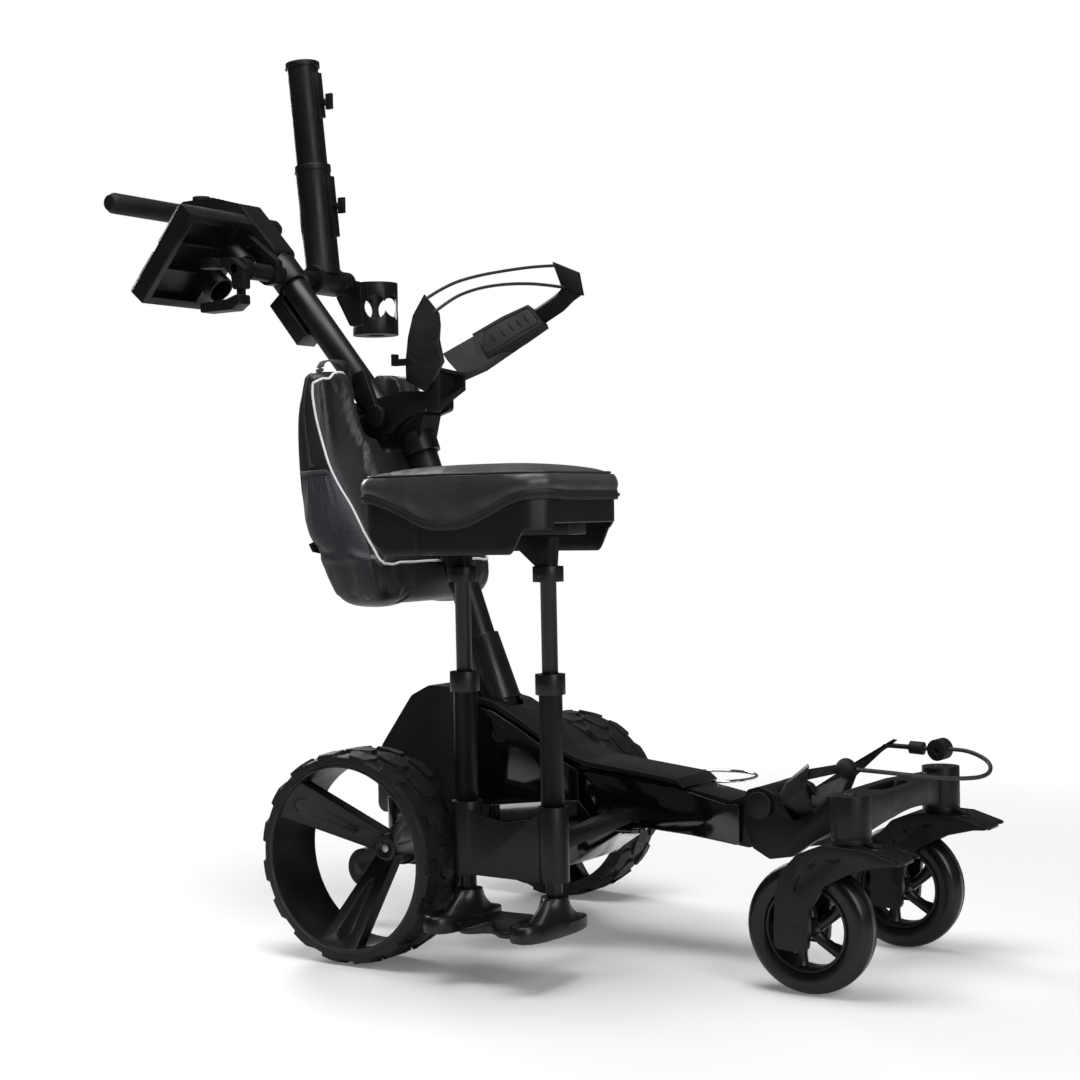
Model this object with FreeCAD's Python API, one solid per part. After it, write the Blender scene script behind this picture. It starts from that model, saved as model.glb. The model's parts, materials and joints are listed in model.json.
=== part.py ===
"""Electric golf trolley: three-piece folding frame, driven rear wheels, swivelling front casters,
side seat, cooler bag and handle accessories.

Frame: +X forward, +Y to the trolley's left, +Z up. The origin is on the ground, under the middle of
the rear axle. Millimetres.
"""
import FreeCAD, Part
import math
import os

V = FreeCAD.Vector
Y_AXIS = V(0, 1, 0)
Z_AXIS = V(0, 0, 1)
SIDES = (("right", -1), ("left", 1))

# ---- fits -------------------------------------------------------------------------------------
running = 0.05          # radial clearance of a shaft that turns or slides in its hole
gap = 0.3               # between curved faces of pieces that move past each other
rest_gap = 0.3          # under a soft piece that lies on something

# ---- rear wheels and drive --------------------------------------------------------------------
wheel_radius = 152
wheel_width = 97
track_outer = 325       # from the middle of the trolley to a rear tyre's outer face
tyre_depth = 18
tyre_shoulder = 6
barrel_wall = 5
spoke_count = 3
spoke_start = 22        # degrees from straight ahead
spoke_rim_width = 66
spoke_hub_width = 32
spoke_thickness = 22
hub_radius = 21
hub_face = 224          # the deep-dished hub's outer face
hub_length = 34
shaft_radius = 6.35
shaft_inner_end = 120
shaft_proud = 2
housing_radius = 30
housing_wall = 3
housing_half = 186
bearing_radius = 14
bearing_width = 10
motor_radius = 22
motor_length = 70
motor_start = 12
gearbox_radius = 25
gearbox_length = 54
tip_arm_y = 100
tip_wheel_radius = 30
tip_wheel_width = 22
tip_wheel_x = -131
tip_wheel_z = 94
tip_pin_radius = 5

# ---- lower frame ------------------------------------------------------------------------------
shell_wall = 3
tray_floor_z = 116
tray_rim_z = 178        # the tray's edge where other pieces stand over it
tray_deck_z = 214       # top of its gloss shoulders beside the flanks
flank_inner = 52
flank_outer = 57
cladding_outer = 46.6   # stays inside the yoke's cheeks, which sweep past it when it folds
beam_half = 36
beam_low_z = 164        # nothing of the beam reaches below this over the tray
beam_wall = 3
cover_half = 112
cover_shoulder_half = 66
column_lean = 19.9      # degrees back from upright
column_radius = 23
column_wall = 2.5
column_x = 29           # the column's axis passes through here at column_z
column_z = 426
column_low = -170       # ends, measured along the column from that point
column_high = 352
head_drawn_at = 352     # where along the column the pieces on its head are drawn
socket_top = 22
collar_grip = 26        # length of column inside the hinge bracket's collar
ring_centre = V(370, 104, 237)
ring_radius = 62
ring_wire = 2.5

# ---- front frame ------------------------------------------------------------------------------
fold_x = 528
fold_z = 226
fold_pin_radius = 8
fold_knuckle = 25
yoke_half = 62
yoke_inner = 47
fold_cap_radius = 19
fold_cap = 7
stem_x = 705
stem_y = 156.5
stem_radius = 8
stem_housing_radius = 26.5
stem_housing_low = 199
stem_housing_high = 264
bridge_low = 213
bridge_high = 256
caster_radius = 87.5
caster_width = 46
caster_trail = 58
caster_rim_radius = 58
caster_axle_radius = 5
fork_inner = 27
fork_leg = 11
fork_plate_low = 179
fork_plate_high = 198.6
peg_radius = 6
peg_head = 5.2          # low enough to pass under the bridge when the peg is lifted
peg_forward = 36        # from the swivel axis
peg_aside = -10

# ---- handle -----------------------------------------------------------------------------------
pivot_x = -140
pivot_z = 792
pivot_pin_radius = 6
cheek_inner = 25
cheek_outer = 36
knuckle_radius = 27
handle_lean = 39.3
handle_x = -212         # the handle tube's axis passes through here at handle_z
handle_z = 864
handle_radius = 22
handle_wall = 2.5
handle_low = -62
handle_high = 268
ferrule_radius = 25
ferrule_low = -84
ferrule_high = -30
grip_x = -545
grip_z = 1150
grip_half = 207
grip_radius = 17
bar_radius = 9
console_half = 26
console_top = 1174
dial_x = -535
dial_radius = 15
button_x = -503
button_radius = 7
button_travel = 2
accessory_x = -345
accessory_z = 1033
stub_radius = 14
accessory_pin = 8

# ---- scorecard holder -------------------------------------------------------------------------
card_x = -405           # top edge of the lid's plane
card_z = 1136
card_near = -190
card_far = -40
card_lean = 40.4        # degrees that the lid's plane tips from upright
card_length = 172
card_depth = 30
card_wall = 3
lid_thickness = 3
ball_cups = ((-52, -62), (-72, -112))   # middles: along Y, and down from the tray's top edge

# ---- umbrella holder and drinks holder --------------------------------------------------------
umbrella_y = 88
umbrella_lean = 5.7
umbrella_outer = 29.4
umbrella_middle = 26
umbrella_bore = 23
umbrella_stage_z = 1227
umbrella_top_z = 1402
umbrella_travel = 70
knuckle_y0 = 58
knuckle_y1 = 118
screw_radius = 3
cup_centre = V(-321, 197, 0)
cup_low = 947
cup_high = 1036
cup_radius = 39
cup_wall = 2.5
cup_hole_radius = 19

# ---- seat -------------------------------------------------------------------------------------
leg_y = -272
leg_xs = (181, 322)
post_radius = 11
leg_tube_radius = 16
leg_tube_wall = 2
sleeve_radius = 21
sleeve_low = 138
sleeve_high = 240
leg_tube_top = 415
collar_radius = 20.5
collar_height = 24
foot_low = 70
foot_high = 118
seat_x = 245            # middle of the pan
seat_y = -297
post_top = 606
shell_low = 582
shell_deck = 640
shell_top = 655
cushion_thickness = 42

# ---- cords ------------------------------------------------------------------------------------
strand_diameter = 5
bungee_diameter = 6


# ==== helpers ==================================================================================
def rod(start, end, radius):
    """A solid round bar from one point to another."""
    axis = end - start
    return Part.makeCylinder(radius, axis.Length, start, axis)


def pipe(start, end, outer, inner):
    """A round tube from one point to another."""
    step = (end - start).normalize()
    return rod(start, end, outer).cut(rod(start - step, end + step, inner))


def slab(x0, x1, y0, y1, z0, z1):
    """A block between two opposite corners."""
    return Part.makeBox(x1 - x0, y1 - y0, z1 - z0, V(x0, y0, z0))


def outline(points, corner):
    """A closed wire through the points, with each corner rounded as far as its sides allow."""
    edges = []
    last_end = None
    first_start = None
    count = len(points)
    for i in range(count):
        here = points[i]
        back = points[i - 1] - here
        ahead = points[(i + 1) % count] - here
        half = back.getAngle(ahead) / 2
        reach = min(corner / math.tan(half), 0.45 * back.Length, 0.45 * ahead.Length)
        radius = reach * math.tan(half)
        into = V(back).normalize()
        out = V(ahead).normalize()
        middle = (into + out).normalize()
        start = here + into * reach
        end = here + out * reach
        crown = here + middle * (radius / math.sin(half) - radius)
        if last_end is not None:
            edges.append(Part.LineSegment(last_end, start).toShape())
        else:
            first_start = start
        edges.append(Part.Arc(start, crown, end).toShape())
        last_end = end
    edges.append(Part.LineSegment(last_end, first_start).toShape())
    return Part.Wire(edges)


def side_plate(points, y0, y1, corner=6):
    """An outline given as (x, z), given thickness along Y."""
    wire = outline([V(x, y0, z) for x, z in points], corner)
    return Part.Face(wire).extrude(V(0, y1 - y0, 0))


def plan_plate(points, z0, z1, corner=6):
    """An outline given as (x, y), given height along Z."""
    wire = outline([V(x, y, z0) for x, y in points], corner)
    return Part.Face(wire).extrude(V(0, 0, z1 - z0))


def mirrored(points):
    """A half outline in (x, y >= 0), completed by its mirror image across y = 0."""
    return points + [(x, -y) for x, y in reversed(points)]


def turned(profile, centre):
    """A ring about the Y axis direction through centre, from a closed (radius, y) profile."""
    corners = [V(centre.x + r, y, centre.z) for r, y in profile]
    face = Part.Face(Part.makePolygon(corners + [corners[0]]))
    return face.revolve(centre, Y_AXIS, 360)


def leaning(shape, origin, angle):
    """Tips a shape built upright about the origin of axes back by an angle, and moves it."""
    shape.Placement = FreeCAD.Placement(origin, FreeCAD.Rotation(Y_AXIS, -angle))
    return shape


def bar_loft(stations):
    """A bar through rectangular sections, each (centre, half-width vector, half-thickness vector)."""
    wires = []
    for centre, wide, thick in stations:
        corners = [centre + wide + thick, centre - wide + thick,
                   centre - wide - thick, centre + wide - thick]
        wires.append(Part.makePolygon(corners + [corners[0]]))
    return Part.makeLoft(wires, True, True)


def cord_tube(name, points, diameter):
    """A cord as straight runs joined by tangent arcs; prints its radii and volume check."""
    cut_back = []
    radii = []
    for i in range(1, len(points) - 1):
        back = points[i - 1] - points[i]
        ahead = points[i + 1] - points[i]
        half_turn = (math.pi - back.getAngle(ahead)) / 2
        reach = 0.45 * min(back.Length, ahead.Length)
        radii.append(reach / math.tan(half_turn))
        cut_back.append((back.normalize() * reach, ahead.normalize() * reach, half_turn))
    edges = []
    at = points[0]
    length = 0
    for i, (into, out, half_turn) in enumerate(cut_back):
        corner = points[i + 1]
        start = corner + into
        end = corner + out
        radius = radii[i]
        middle = (into + out).normalize()
        crown = corner + middle * (radius / math.cos(half_turn) - radius)
        edges.append(Part.LineSegment(at, start).toShape())
        edges.append(Part.Arc(start, crown, end).toShape())
        length += (start - at).Length + 2 * half_turn * radius
        at = end
    edges.append(Part.LineSegment(at, points[-1]).toShape())
    length += (points[-1] - at).Length
    spine = Part.Wire(edges)
    section = Part.Wire(Part.makeCircle(diameter / 2, points[0], points[1] - points[0]))
    tube = spine.makePipeShell([section], True, True)
    expected = math.pi * diameter ** 2 / 4 * length
    print(name, "length %.1f" % length, "radii", [round(r, 1) for r in radii],
          "volume ratio %.4f" % (tube.Volume / expected))
    return tube


def save(name, shape):
    """Writes one sub-part."""
    if not shape.isValid():
        print("INVALID", name)
    print(name, len(shape.Solids), "solid(s) %.0f cm3" % (shape.Volume / 1000))
    shape.exportStep("parts/" + name + ".step")


# ==== rear wheels and drive ====================================================================
axle = V(0, 0, wheel_radius)
wheel_inner = track_outer - wheel_width


def axle_point(y):
    """A point on the rear axle's line."""
    return V(axle.x, y, axle.z)


def rear_tyre(side):
    """Wide tyre, rounded at both shoulders."""
    seat = wheel_radius - tyre_depth
    tread = wheel_radius - 1
    inner = side * wheel_inner
    outer = side * track_outer
    edge = side * tyre_shoulder
    profile = [(seat, inner), (tread - 5, inner), (tread, inner + edge),
               (wheel_radius, inner + 3 * edge), (wheel_radius, outer - 3 * edge), (tread, outer - edge),
               (tread - 5, outer), (seat, outer)]
    return turned(profile, axle)


def rear_rim(side):
    """Thin barrel with three broad spokes that slope in from its outer lip to a deep hub."""
    seat = wheel_radius - tyre_depth
    barrel = pipe(axle_point(side * wheel_inner), axle_point(side * track_outer), seat, seat - barrel_wall)
    hub = rod(axle_point(side * (hub_face - hub_length)), axle_point(side * hub_face), hub_radius)
    rim = barrel.fuse(hub)
    lip_y = track_outer - 4 - spoke_thickness / 2
    hub_y = hub_face - 1 - spoke_thickness / 2
    for i in range(spoke_count):
        angle = math.radians(spoke_start + i * 360 / spoke_count)
        out = V(math.cos(angle), 0, math.sin(angle))
        across = V(-math.sin(angle), 0, math.cos(angle))
        thick = V(0, spoke_thickness / 2, 0)
        stations = [(axle_point(side * hub_y) + out * (hub_radius - 8), across * (spoke_hub_width / 2), thick),
                    (axle_point(side * lip_y) + out * (seat - 4), across * (spoke_rim_width / 2), thick)]
        rim = rim.fuse(bar_loft(stations))
    bore = rod(axle_point(side * (hub_face - hub_length - 1)), axle_point(side * (hub_face + 1)), shaft_radius)
    return rim.cut(bore).removeSplitter()


def axle_shaft(side):
    """Half shaft from the gearbox to the wheel's hub."""
    return rod(axle_point(side * shaft_inner_end), axle_point(side * (hub_face + shaft_proud)), shaft_radius)


def axle_housing():
    """Cross tube that holds the drive, with two tail arms that carry the anti-tip wheels."""
    solids = []
    tube = pipe(axle_point(-housing_half), axle_point(housing_half), housing_radius,
                housing_radius - housing_wall)
    solids.append(tube)
    wheel_half = tip_wheel_width / 2
    for _, side in SIDES:
        for flank in (-1, 1):
            inner = side * tip_arm_y + flank * (wheel_half + 1)
            outer = inner + flank * 5
            arm = side_plate([(-28, 130), (-28, 172), (-60, 168), (tip_wheel_x - 12, tip_wheel_z + 12),
                              (tip_wheel_x - 12, tip_wheel_z - 10), (tip_wheel_x + 12, tip_wheel_z - 10),
                              (-68, 125)],
                             min(inner, outer), max(inner, outer), 5)
            arm = arm.cut(rod(axle_point(-housing_half), axle_point(housing_half), housing_radius))
            solids.append(arm)
        pin = rod(V(tip_wheel_x, side * tip_arm_y - wheel_half - 8, tip_wheel_z),
                  V(tip_wheel_x, side * tip_arm_y + wheel_half + 8, tip_wheel_z), tip_pin_radius)
        arms = solids[-2].fuse(solids[-1]).fuse(pin)
        solids = solids[:-2] + [arms]
    return Part.makeCompound(solids)


def drive_units():
    """Two motors with their gearboxes, and the bearings and carriers in the axle tube's ends."""
    solids = []
    bore_radius = housing_radius - housing_wall
    for _, side in SIDES:
        solids.append(rod(axle_point(side * motor_start), axle_point(side * (motor_start + motor_length)),
                          motor_radius))
        gear_start = motor_start + motor_length
        gearbox = rod(axle_point(side * gear_start), axle_point(side * (gear_start + gearbox_length)),
                      gearbox_radius)
        socket = rod(axle_point(side * (shaft_inner_end - gap)), axle_point(side * 200), shaft_radius + running)
        solids.append(gearbox.cut(socket))
        inner = housing_half - bearing_width - 2
        solids.append(pipe(axle_point(side * inner), axle_point(side * housing_half), bore_radius,
                           bearing_radius))
        solids.append(pipe(axle_point(side * inner), axle_point(side * (inner + bearing_width)),
                           bearing_radius, shaft_radius + running))
    return Part.makeCompound(solids)


def tip_wheel(side):
    """Small wheel behind the axle that stops the trolley tipping back."""
    half = tip_wheel_width / 2
    start = V(tip_wheel_x, side * tip_arm_y - half, tip_wheel_z)
    end = V(tip_wheel_x, side * tip_arm_y + half, tip_wheel_z)
    return pipe(start, end, tip_wheel_radius, tip_pin_radius + running)


# ==== lower frame ==============================================================================
def column_point(along):
    """A point on the column's axis."""
    lean = math.radians(column_lean)
    return V(column_x - along * math.sin(lean), 0, column_z + along * math.cos(lean))


def column_bar(low, high, radius):
    """A round bar on the column's axis."""
    return rod(column_point(low), column_point(high), radius)


def tray_plan(inset):
    """Half outline of the tray seen from above, inset by a wall."""
    return mirrored([(-62 + inset, 150 - inset), (142, 150 - inset), (190, 94 - inset), (232, 62 - inset),
                     (330 - inset, 52 - inset)])


def tray_side(inset):
    """Side outline of the tray, inset by a wall: a flat belly that rises to meet the beam."""
    return [(-70, tray_floor_z + inset), (212, tray_floor_z + inset), (296, 170 + inset), (340, 170 + inset),
            (340, tray_rim_z - inset), (262, tray_rim_z - inset), (232, tray_deck_z - inset),
            (-70, tray_deck_z - inset)]


def chassis_tray():
    """Gloss tray with broad shoulders over the axle, drawn in to the beam at the front."""
    outer = plan_plate(tray_plan(0), 100, 230, 22).common(side_plate(tray_side(0), -160, 160, 6))
    inner = plan_plate(tray_plan(shell_wall), 100, 230, 20)
    tray = outer.cut(inner.common(side_plate(tray_side(shell_wall), -160, 160, 4)))
    over = cover_half + gap
    tray = tray.cut(slab(-90, 48 + gap, -over, over, tray_rim_z, tray_deck_z + 10))
    beside = flank_outer + gap
    tray = tray.cut(slab(48, 400, -beside, beside, tray_rim_z, tray_deck_z + 10))
    tray = tray.cut(rod(axle_point(-housing_half), axle_point(housing_half), housing_radius + running))
    for _, side in SIDES:
        middle = side * tip_arm_y
        reach = tip_wheel_width / 2 + 8
        tray = tray.cut(slab(-80, -20, middle - reach, middle + reach, tray_floor_z + 6, tray_rim_z + 8))
    return tray.cut(slab(48, 400, -beam_half - gap, beam_half + gap, beam_low_z, tray_rim_z + 20))


def cover_profile(inset):
    """Side outline of the rear cover, inset by a wall."""
    return [(-98 + inset, 184), (-98 + inset, 285), (-60 + inset, 360 - inset), (-30, 376 - inset),
            (18, 374 - inset), (48 - inset, 350 - inset), (48 - inset, 184)]


def cover_block(inset):
    """The rear cover's outer form, inset by a wall, with sloping shoulders."""
    half = cover_half - inset
    block = side_plate(cover_profile(inset), -half, half, 14)
    shoulder = [V(-200, cover_half + 40 - inset, 250), V(-200, cover_half - inset, 250),
                V(-200, cover_shoulder_half - inset, 380), V(-200, cover_half + 40 - inset, 380)]
    wedge = Part.Face(Part.makePolygon(shoulder + [shoulder[0]])).extrude(V(400, 0, 0))
    other = wedge.mirror(V(0, 0, 0), Y_AXIS)
    return block.cut(wedge).cut(other)


def rear_cover():
    """Matte hood over the battery and the column's foot, open below."""
    hood = cover_block(0).cut(cover_block(shell_wall))
    mouth = slab(-98 + shell_wall, 48 - shell_wall, -cover_half + shell_wall, cover_half - shell_wall, 180, 200)
    return hood.cut(mouth).cut(column_bar(column_low - 40, column_high, column_radius + 9))


def side_panels():
    """Gloss flanks between the rear cover and the beam, and the gloss cladding on the beam's sides."""
    flank = [(48 + gap, 182), (48 + gap, 346), (80, 338), (129, 312), (191, 276), (228, 256), (228, 182)]
    cladding = [(228 + gap, tray_rim_z + gap), (228 + gap, 255), (389, 239), (465, 221), (486, 222), (486, 164),
                (400, 176), (345, tray_rim_z + gap)]
    panels = []
    for _, side in SIDES:
        for shape in (side_plate(flank, flank_inner, flank_outer, 8),
                      side_plate(cladding, beam_half + gap, cladding_outer, 6)):
            if side < 0:
                shape = shape.mirror(V(0, 0, 0), Y_AXIS)
                shape = shape.cut(slab(275, 325, -80, 0, 181, 212))
            panels.append(shape)
    return Part.makeCompound(panels)


def spine_cover():
    """Satin cover along the top, from the column's boot down to the beam."""
    top = [(49, 358), (79, 351), (129, 325), (191, 287), (234, 271), (389, 253), (402, 243), (402, 240),
           (389, 246), (234, 264), (191, 280), (129, 316), (79, 341), (49, 348)]
    cover = side_plate(top, -50, 50, 0.8)
    path = column_bar(column_low, socket_top, column_radius + 9)
    return cover.cut(path)


def main_beam():
    """Box-section beam from the column's foot to the front fold, with a rounded hinge knuckle."""
    profile = [(52, 186), (52, 250), (150, 252), (234, 257), (389, 241), (470, 226), (505, 238), (528, 251),
               (553, 226), (528, 201), (506, 186), (504, 160), (400, 172), (214, 184)]
    beam = side_plate(profile, -beam_half, beam_half, 9)
    hollow = side_plate([(70, 190), (70, 246), (234, 252), (389, 236), (450, 224), (470, 190), (470, 169),
                         (400, 177), (214, 188)], -beam_half + beam_wall, beam_half - beam_wall, 5)
    knuckle = rod(V(fold_x, -yoke_inner + gap, fold_z), V(fold_x, yoke_inner - gap, fold_z), fold_knuckle)
    beam = beam.cut(hollow).fuse(knuckle).removeSplitter()
    beam = beam.cut(rod(V(fold_x, -80, fold_z), V(fold_x, 80, fold_z), fold_pin_radius))
    return beam.cut(column_bar(column_low, column_high, column_radius))


def with_head(shape):
    """Moves a piece that stands on the column's head along with that head."""
    return shape.translated(column_point(column_high) - column_point(head_drawn_at))


def hinge_pins():
    """The front fold's pin with its two caps, and the handle's pivot pin."""
    outer = yoke_half + gap
    fold_pin = rod(V(fold_x, -outer, fold_z), V(fold_x, outer, fold_z), fold_pin_radius)
    for _, side in SIDES:
        cap = rod(V(fold_x, side * outer, fold_z), V(fold_x, side * (outer + fold_cap), fold_z),
                  fold_cap_radius)
        fold_pin = fold_pin.fuse(cap)
    pivot_pin = rod(V(pivot_x, -cheek_outer, pivot_z), V(pivot_x, cheek_outer, pivot_z), pivot_pin_radius)
    return Part.makeCompound([fold_pin, with_head(pivot_pin)])


def battery_pack():
    """Lithium battery under the rear cover, with the motor controller standing on it."""
    battery = plan_plate(mirrored([(-90, 74), (2, 74)]), axle.z + housing_radius + gap, 262, 8)
    controller = plan_plate(mirrored([(-82, 52), (-16, 52)]), 262, 300, 4)
    return Part.makeCompound([battery, controller])


def column_socket():
    """Tapered boot that grips the column's foot."""
    boot = Part.makeCone(column_radius + 8.5, column_radius + 5, socket_top + 84, column_point(-84),
                         column_point(socket_top) - column_point(-84))
    return boot.cut(column_bar(column_low, column_high, column_radius))


def lower_column():
    """Column tube from the beam up to the hinge bracket."""
    return pipe(column_point(column_low + 4), column_point(column_high), column_radius,
                column_radius - column_wall)


def hinge_bracket():
    """Collar on the column's head with two cheeks that hold the handle's pivot."""
    collar = column_bar(head_drawn_at - collar_grip, head_drawn_at + 6, column_radius + 6)
    body = side_plate([(-118, 770), (-92, 784), (-62, 798), (-46, 812), (-46, 828), (-84, 826)],
                      -cheek_outer, cheek_outer, 8)
    neck = side_plate([(-120, 744), (-74, 744), (-60, 800), (-110, 790)], -23, 23, 6)
    bracket = collar.fuse(body).fuse(neck)
    for _, side in SIDES:
        lug = rod(V(pivot_x, side * cheek_inner, pivot_z), V(pivot_x, side * cheek_outer, pivot_z), 30)
        web = side_plate([(-150, 764), (-118, 764), (-92, 786), (-46, 800), (-46, 828), (-92, 830),
                          (-140, 822)],
                         min(side * cheek_inner, side * cheek_outer),
                         max(side * cheek_inner, side * cheek_outer), 8)
        bracket = bracket.fuse(lug).fuse(web)
    swing = rod(V(pivot_x, -cheek_inner, pivot_z), V(pivot_x, cheek_inner, pivot_z), knuckle_radius + 1)
    bracket = bracket.cut(swing)
    bracket = bracket.cut(column_bar(0, head_drawn_at, column_radius))
    bracket = bracket.cut(rod(V(pivot_x, -50, pivot_z), V(pivot_x, 50, pivot_z), pivot_pin_radius))
    return bracket.removeSplitter()


# ==== bag cradle, cooler bag, bottle ring ======================================================
root_x0 = -45.9
root_x1 = -22


def cradle_root(inset, front):
    """The hollow box in front of the hinge bracket, tapering to the left, inset by a wall."""
    right = [V(root_x0, -cheek_outer + inset, 796 + inset), V(root_x0, -cheek_outer + inset, 864 - inset),
             V(root_x0, cheek_outer - inset, 858 - inset), V(root_x0, cheek_outer - inset, 831 + inset)]
    return Part.Face(Part.makePolygon(right + [right[0]])).extrude(V(front - root_x0, 0, 0))


def cradle_arm_right():
    """Short curved arm on the right, with a strap hook on its side."""
    stations = [(V(-58, -42, 836), V(19, 0, -10), V(0, 4.5, 1)),
                (V(-33, -56, 872), V(34, 0, -4), V(0, 4.5, 2)),
                (V(-18, -78, 905), V(27, 0, -6), V(0, 4.5, 2.4)),
                (V(2, -97, 930), V(24, 0, -11), V(-1, 4.2, 2.4)),
                (V(24, -114, 951), V(12, 2, -15), V(-2, 4, 1))]
    arm = bar_loft(stations)
    hook = slab(-92, -58, -64, -52, 868, 878)
    hook = hook.fuse(slab(-92, -86, -64, -52, 868, 886))
    return arm.fuse(hook).cut(cradle_root(0, root_x1)).cut(bracket_block())


def bracket_block():
    """The space between the bracket's outer faces, which the cradle arms stop at."""
    return slab(-170, root_x0, -cheek_outer, cheek_outer, 740, 870)


def cradle_arm_left():
    """Hollow root box on the hinge bracket and the long left arm that rises from it."""
    mouth = cradle_root(4, root_x1 + 1)
    mouth.translate(V(4, 0, 0))
    stations = [(V(-40, 30, 868), V(15, 3, -17), V(-2, -3, 5)),
                (V(-20, 70, 889), V(13, -4, -24), V(-4, -3, 3)),
                (V(20, 108, 923), V(17, -3, -19), V(-4, -3, 3)),
                (V(60, 130, 947), V(10, -2, -12), V(-4, -2, 3))]
    return cradle_root(0, root_x1).cut(mouth).fuse(bar_loft(stations)).cut(bracket_block()).removeSplitter()


def cradle_strap():
    """Ribbed rubber pad on the left arm, and the strap with its notched head at the arm's tip."""
    pad = bar_loft([(V(-16, 80, 899), V(17, -4, -19), V(-5, -5, 5)),
                    (V(24, 108, 927), V(17, -3, -18), V(-5, -5, 5)),
                    (V(58, 127, 948), V(15, -3, -16), V(-4, -4, 4))])
    strap = bar_loft([(V(58, 130, 948), V(8, 0, -11), V(-2, 2, 2)),
                      (V(94, 131, 966), V(8, 0, -11), V(-2, 2, 2)),
                      (V(121, 131, 986), V(14, 0, -10), V(0, 3, 0))])
    head = bar_loft([(V(120, 131, 984), V(19, 0, -9), V(0, 4, 0)),
                     (V(108, 132, 1022), V(23, 0, -10), V(0, 4, 0))])
    arm = cradle_arm_left()
    return Part.makeCompound([pad.cut(arm), strap.fuse(head).cut(arm).cut(pad)])


def cradle_cord():
    """Two elastic strands that hold the bag, from the right arm's tip to the left arm's buckle."""
    upper = [V(16, -118, 959), V(27, -80, 982), V(42, -22, 1000), V(60, 40, 1013), V(76, 98, 1023),
             V(90, 131, 1026)]
    lower = [V(30, -117, 938), V(42, -88, 960), V(52, -50, 975), V(64, -8, 985), V(77, 40, 991),
             V(91, 90, 993), V(106, 131, 990)]
    return Part.makeCompound([cord_tube("upper strand", upper, strand_diameter),
                              cord_tube("lower strand", lower, strand_diameter)])


def cooler_bag():
    """Soft insulated bag fastened behind the column, hollowed where the handle and hinge pass."""
    bag = side_plate([(-166, 866), (-204, 862), (-226, 772), (-206, 640), (-150, 520), (-128, 500), (-50, 520),
                      (-42, 548), (-98, 690), (-146, 790)], -150, 150, 16)
    fastening = slab(-112, -68, -16, 16, 640, 690)
    return bag.fuse(fastening).cut(bag_clearance()).removeSplitter()


def bag_clearance():
    """The room that the bag leaves around the column, the hinge and the handle's sweep."""
    room = column_bar(column_low, head_drawn_at, column_radius + rest_gap)
    room = room.fuse(column_bar(head_drawn_at - collar_grip - 10, head_drawn_at + 20, column_radius + 8))
    room = room.fuse(rod(V(pivot_x, -42, pivot_z), V(pivot_x, 42, pivot_z), 38))
    room = room.fuse(handle_bar(ferrule_low, handle_high, ferrule_radius + 6))
    room = room.fuse(slab(pivot_x - 47, pivot_x + 100, -46, 46, 735, 880))
    return room.fuse(slab(pivot_x - 48, pivot_x + 34, -64, -30, pivot_z - 30, pivot_z + 90))


def bottle_ring():
    """Bright wire hoop beside the beam for a sand bottle."""
    hoop = Part.makeTorus(ring_radius, ring_wire, ring_centre, Z_AXIS)
    solid = hoop
    for along in (-26, 26):
        inner = V(ring_centre.x + along, cladding_outer, ring_centre.z - 14)
        reach = math.sqrt(ring_radius ** 2 - along ** 2)
        solid = solid.fuse(rod(inner, V(ring_centre.x + along, ring_centre.y - reach, ring_centre.z), ring_wire))
    return solid.cut(slab(200, 500, 0, cladding_outer, 150, 300))


# ==== front frame ==============================================================================
def stem(side, z):
    """A point on a caster's swivel axis."""
    return V(stem_x, side * stem_y, z)


def front_yoke():
    """Moulded yoke that dips under the fold hinge and rises to the caster bridge."""
    profile = [(528, 252), (506, 246), (500, 206), (514, 166), (540, 152), (575, 158), (606, 180), (662, 214),
               (662, 250), (631, 246), (598, 206), (575, 208), (552, 242)]
    yoke = side_plate(profile, -yoke_half, yoke_half, 9)
    throat = slab(480, 604, -yoke_inner, yoke_inner, 140, 270)
    yoke = yoke.cut(throat)
    return yoke.cut(rod(V(fold_x, -90, fold_z), V(fold_x, 90, fold_z), fold_pin_radius + running))


def caster_bridge():
    """Bowed bridge between the two caster stems, with an oblong window."""
    half = [(662, 58), (684, 150), (712, 150), (724, 60)]
    bridge = plan_plate(mirrored(half), bridge_low, bridge_high, 10)
    for _, side in SIDES:
        bridge = bridge.fuse(rod(stem(side, stem_housing_low), stem(side, stem_housing_high),
                                 stem_housing_radius))
    window = plan_plate(mirrored([(678, 52), (706, 46)]), bridge_low - 1, bridge_high + 1, 10)
    bridge = bridge.cut(window)
    for _, side in SIDES:
        bridge = bridge.cut(rod(stem(side, stem_housing_low - 1), stem(side, stem_housing_high - 6),
                                stem_radius + running))
    return bridge.removeSplitter()


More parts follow.
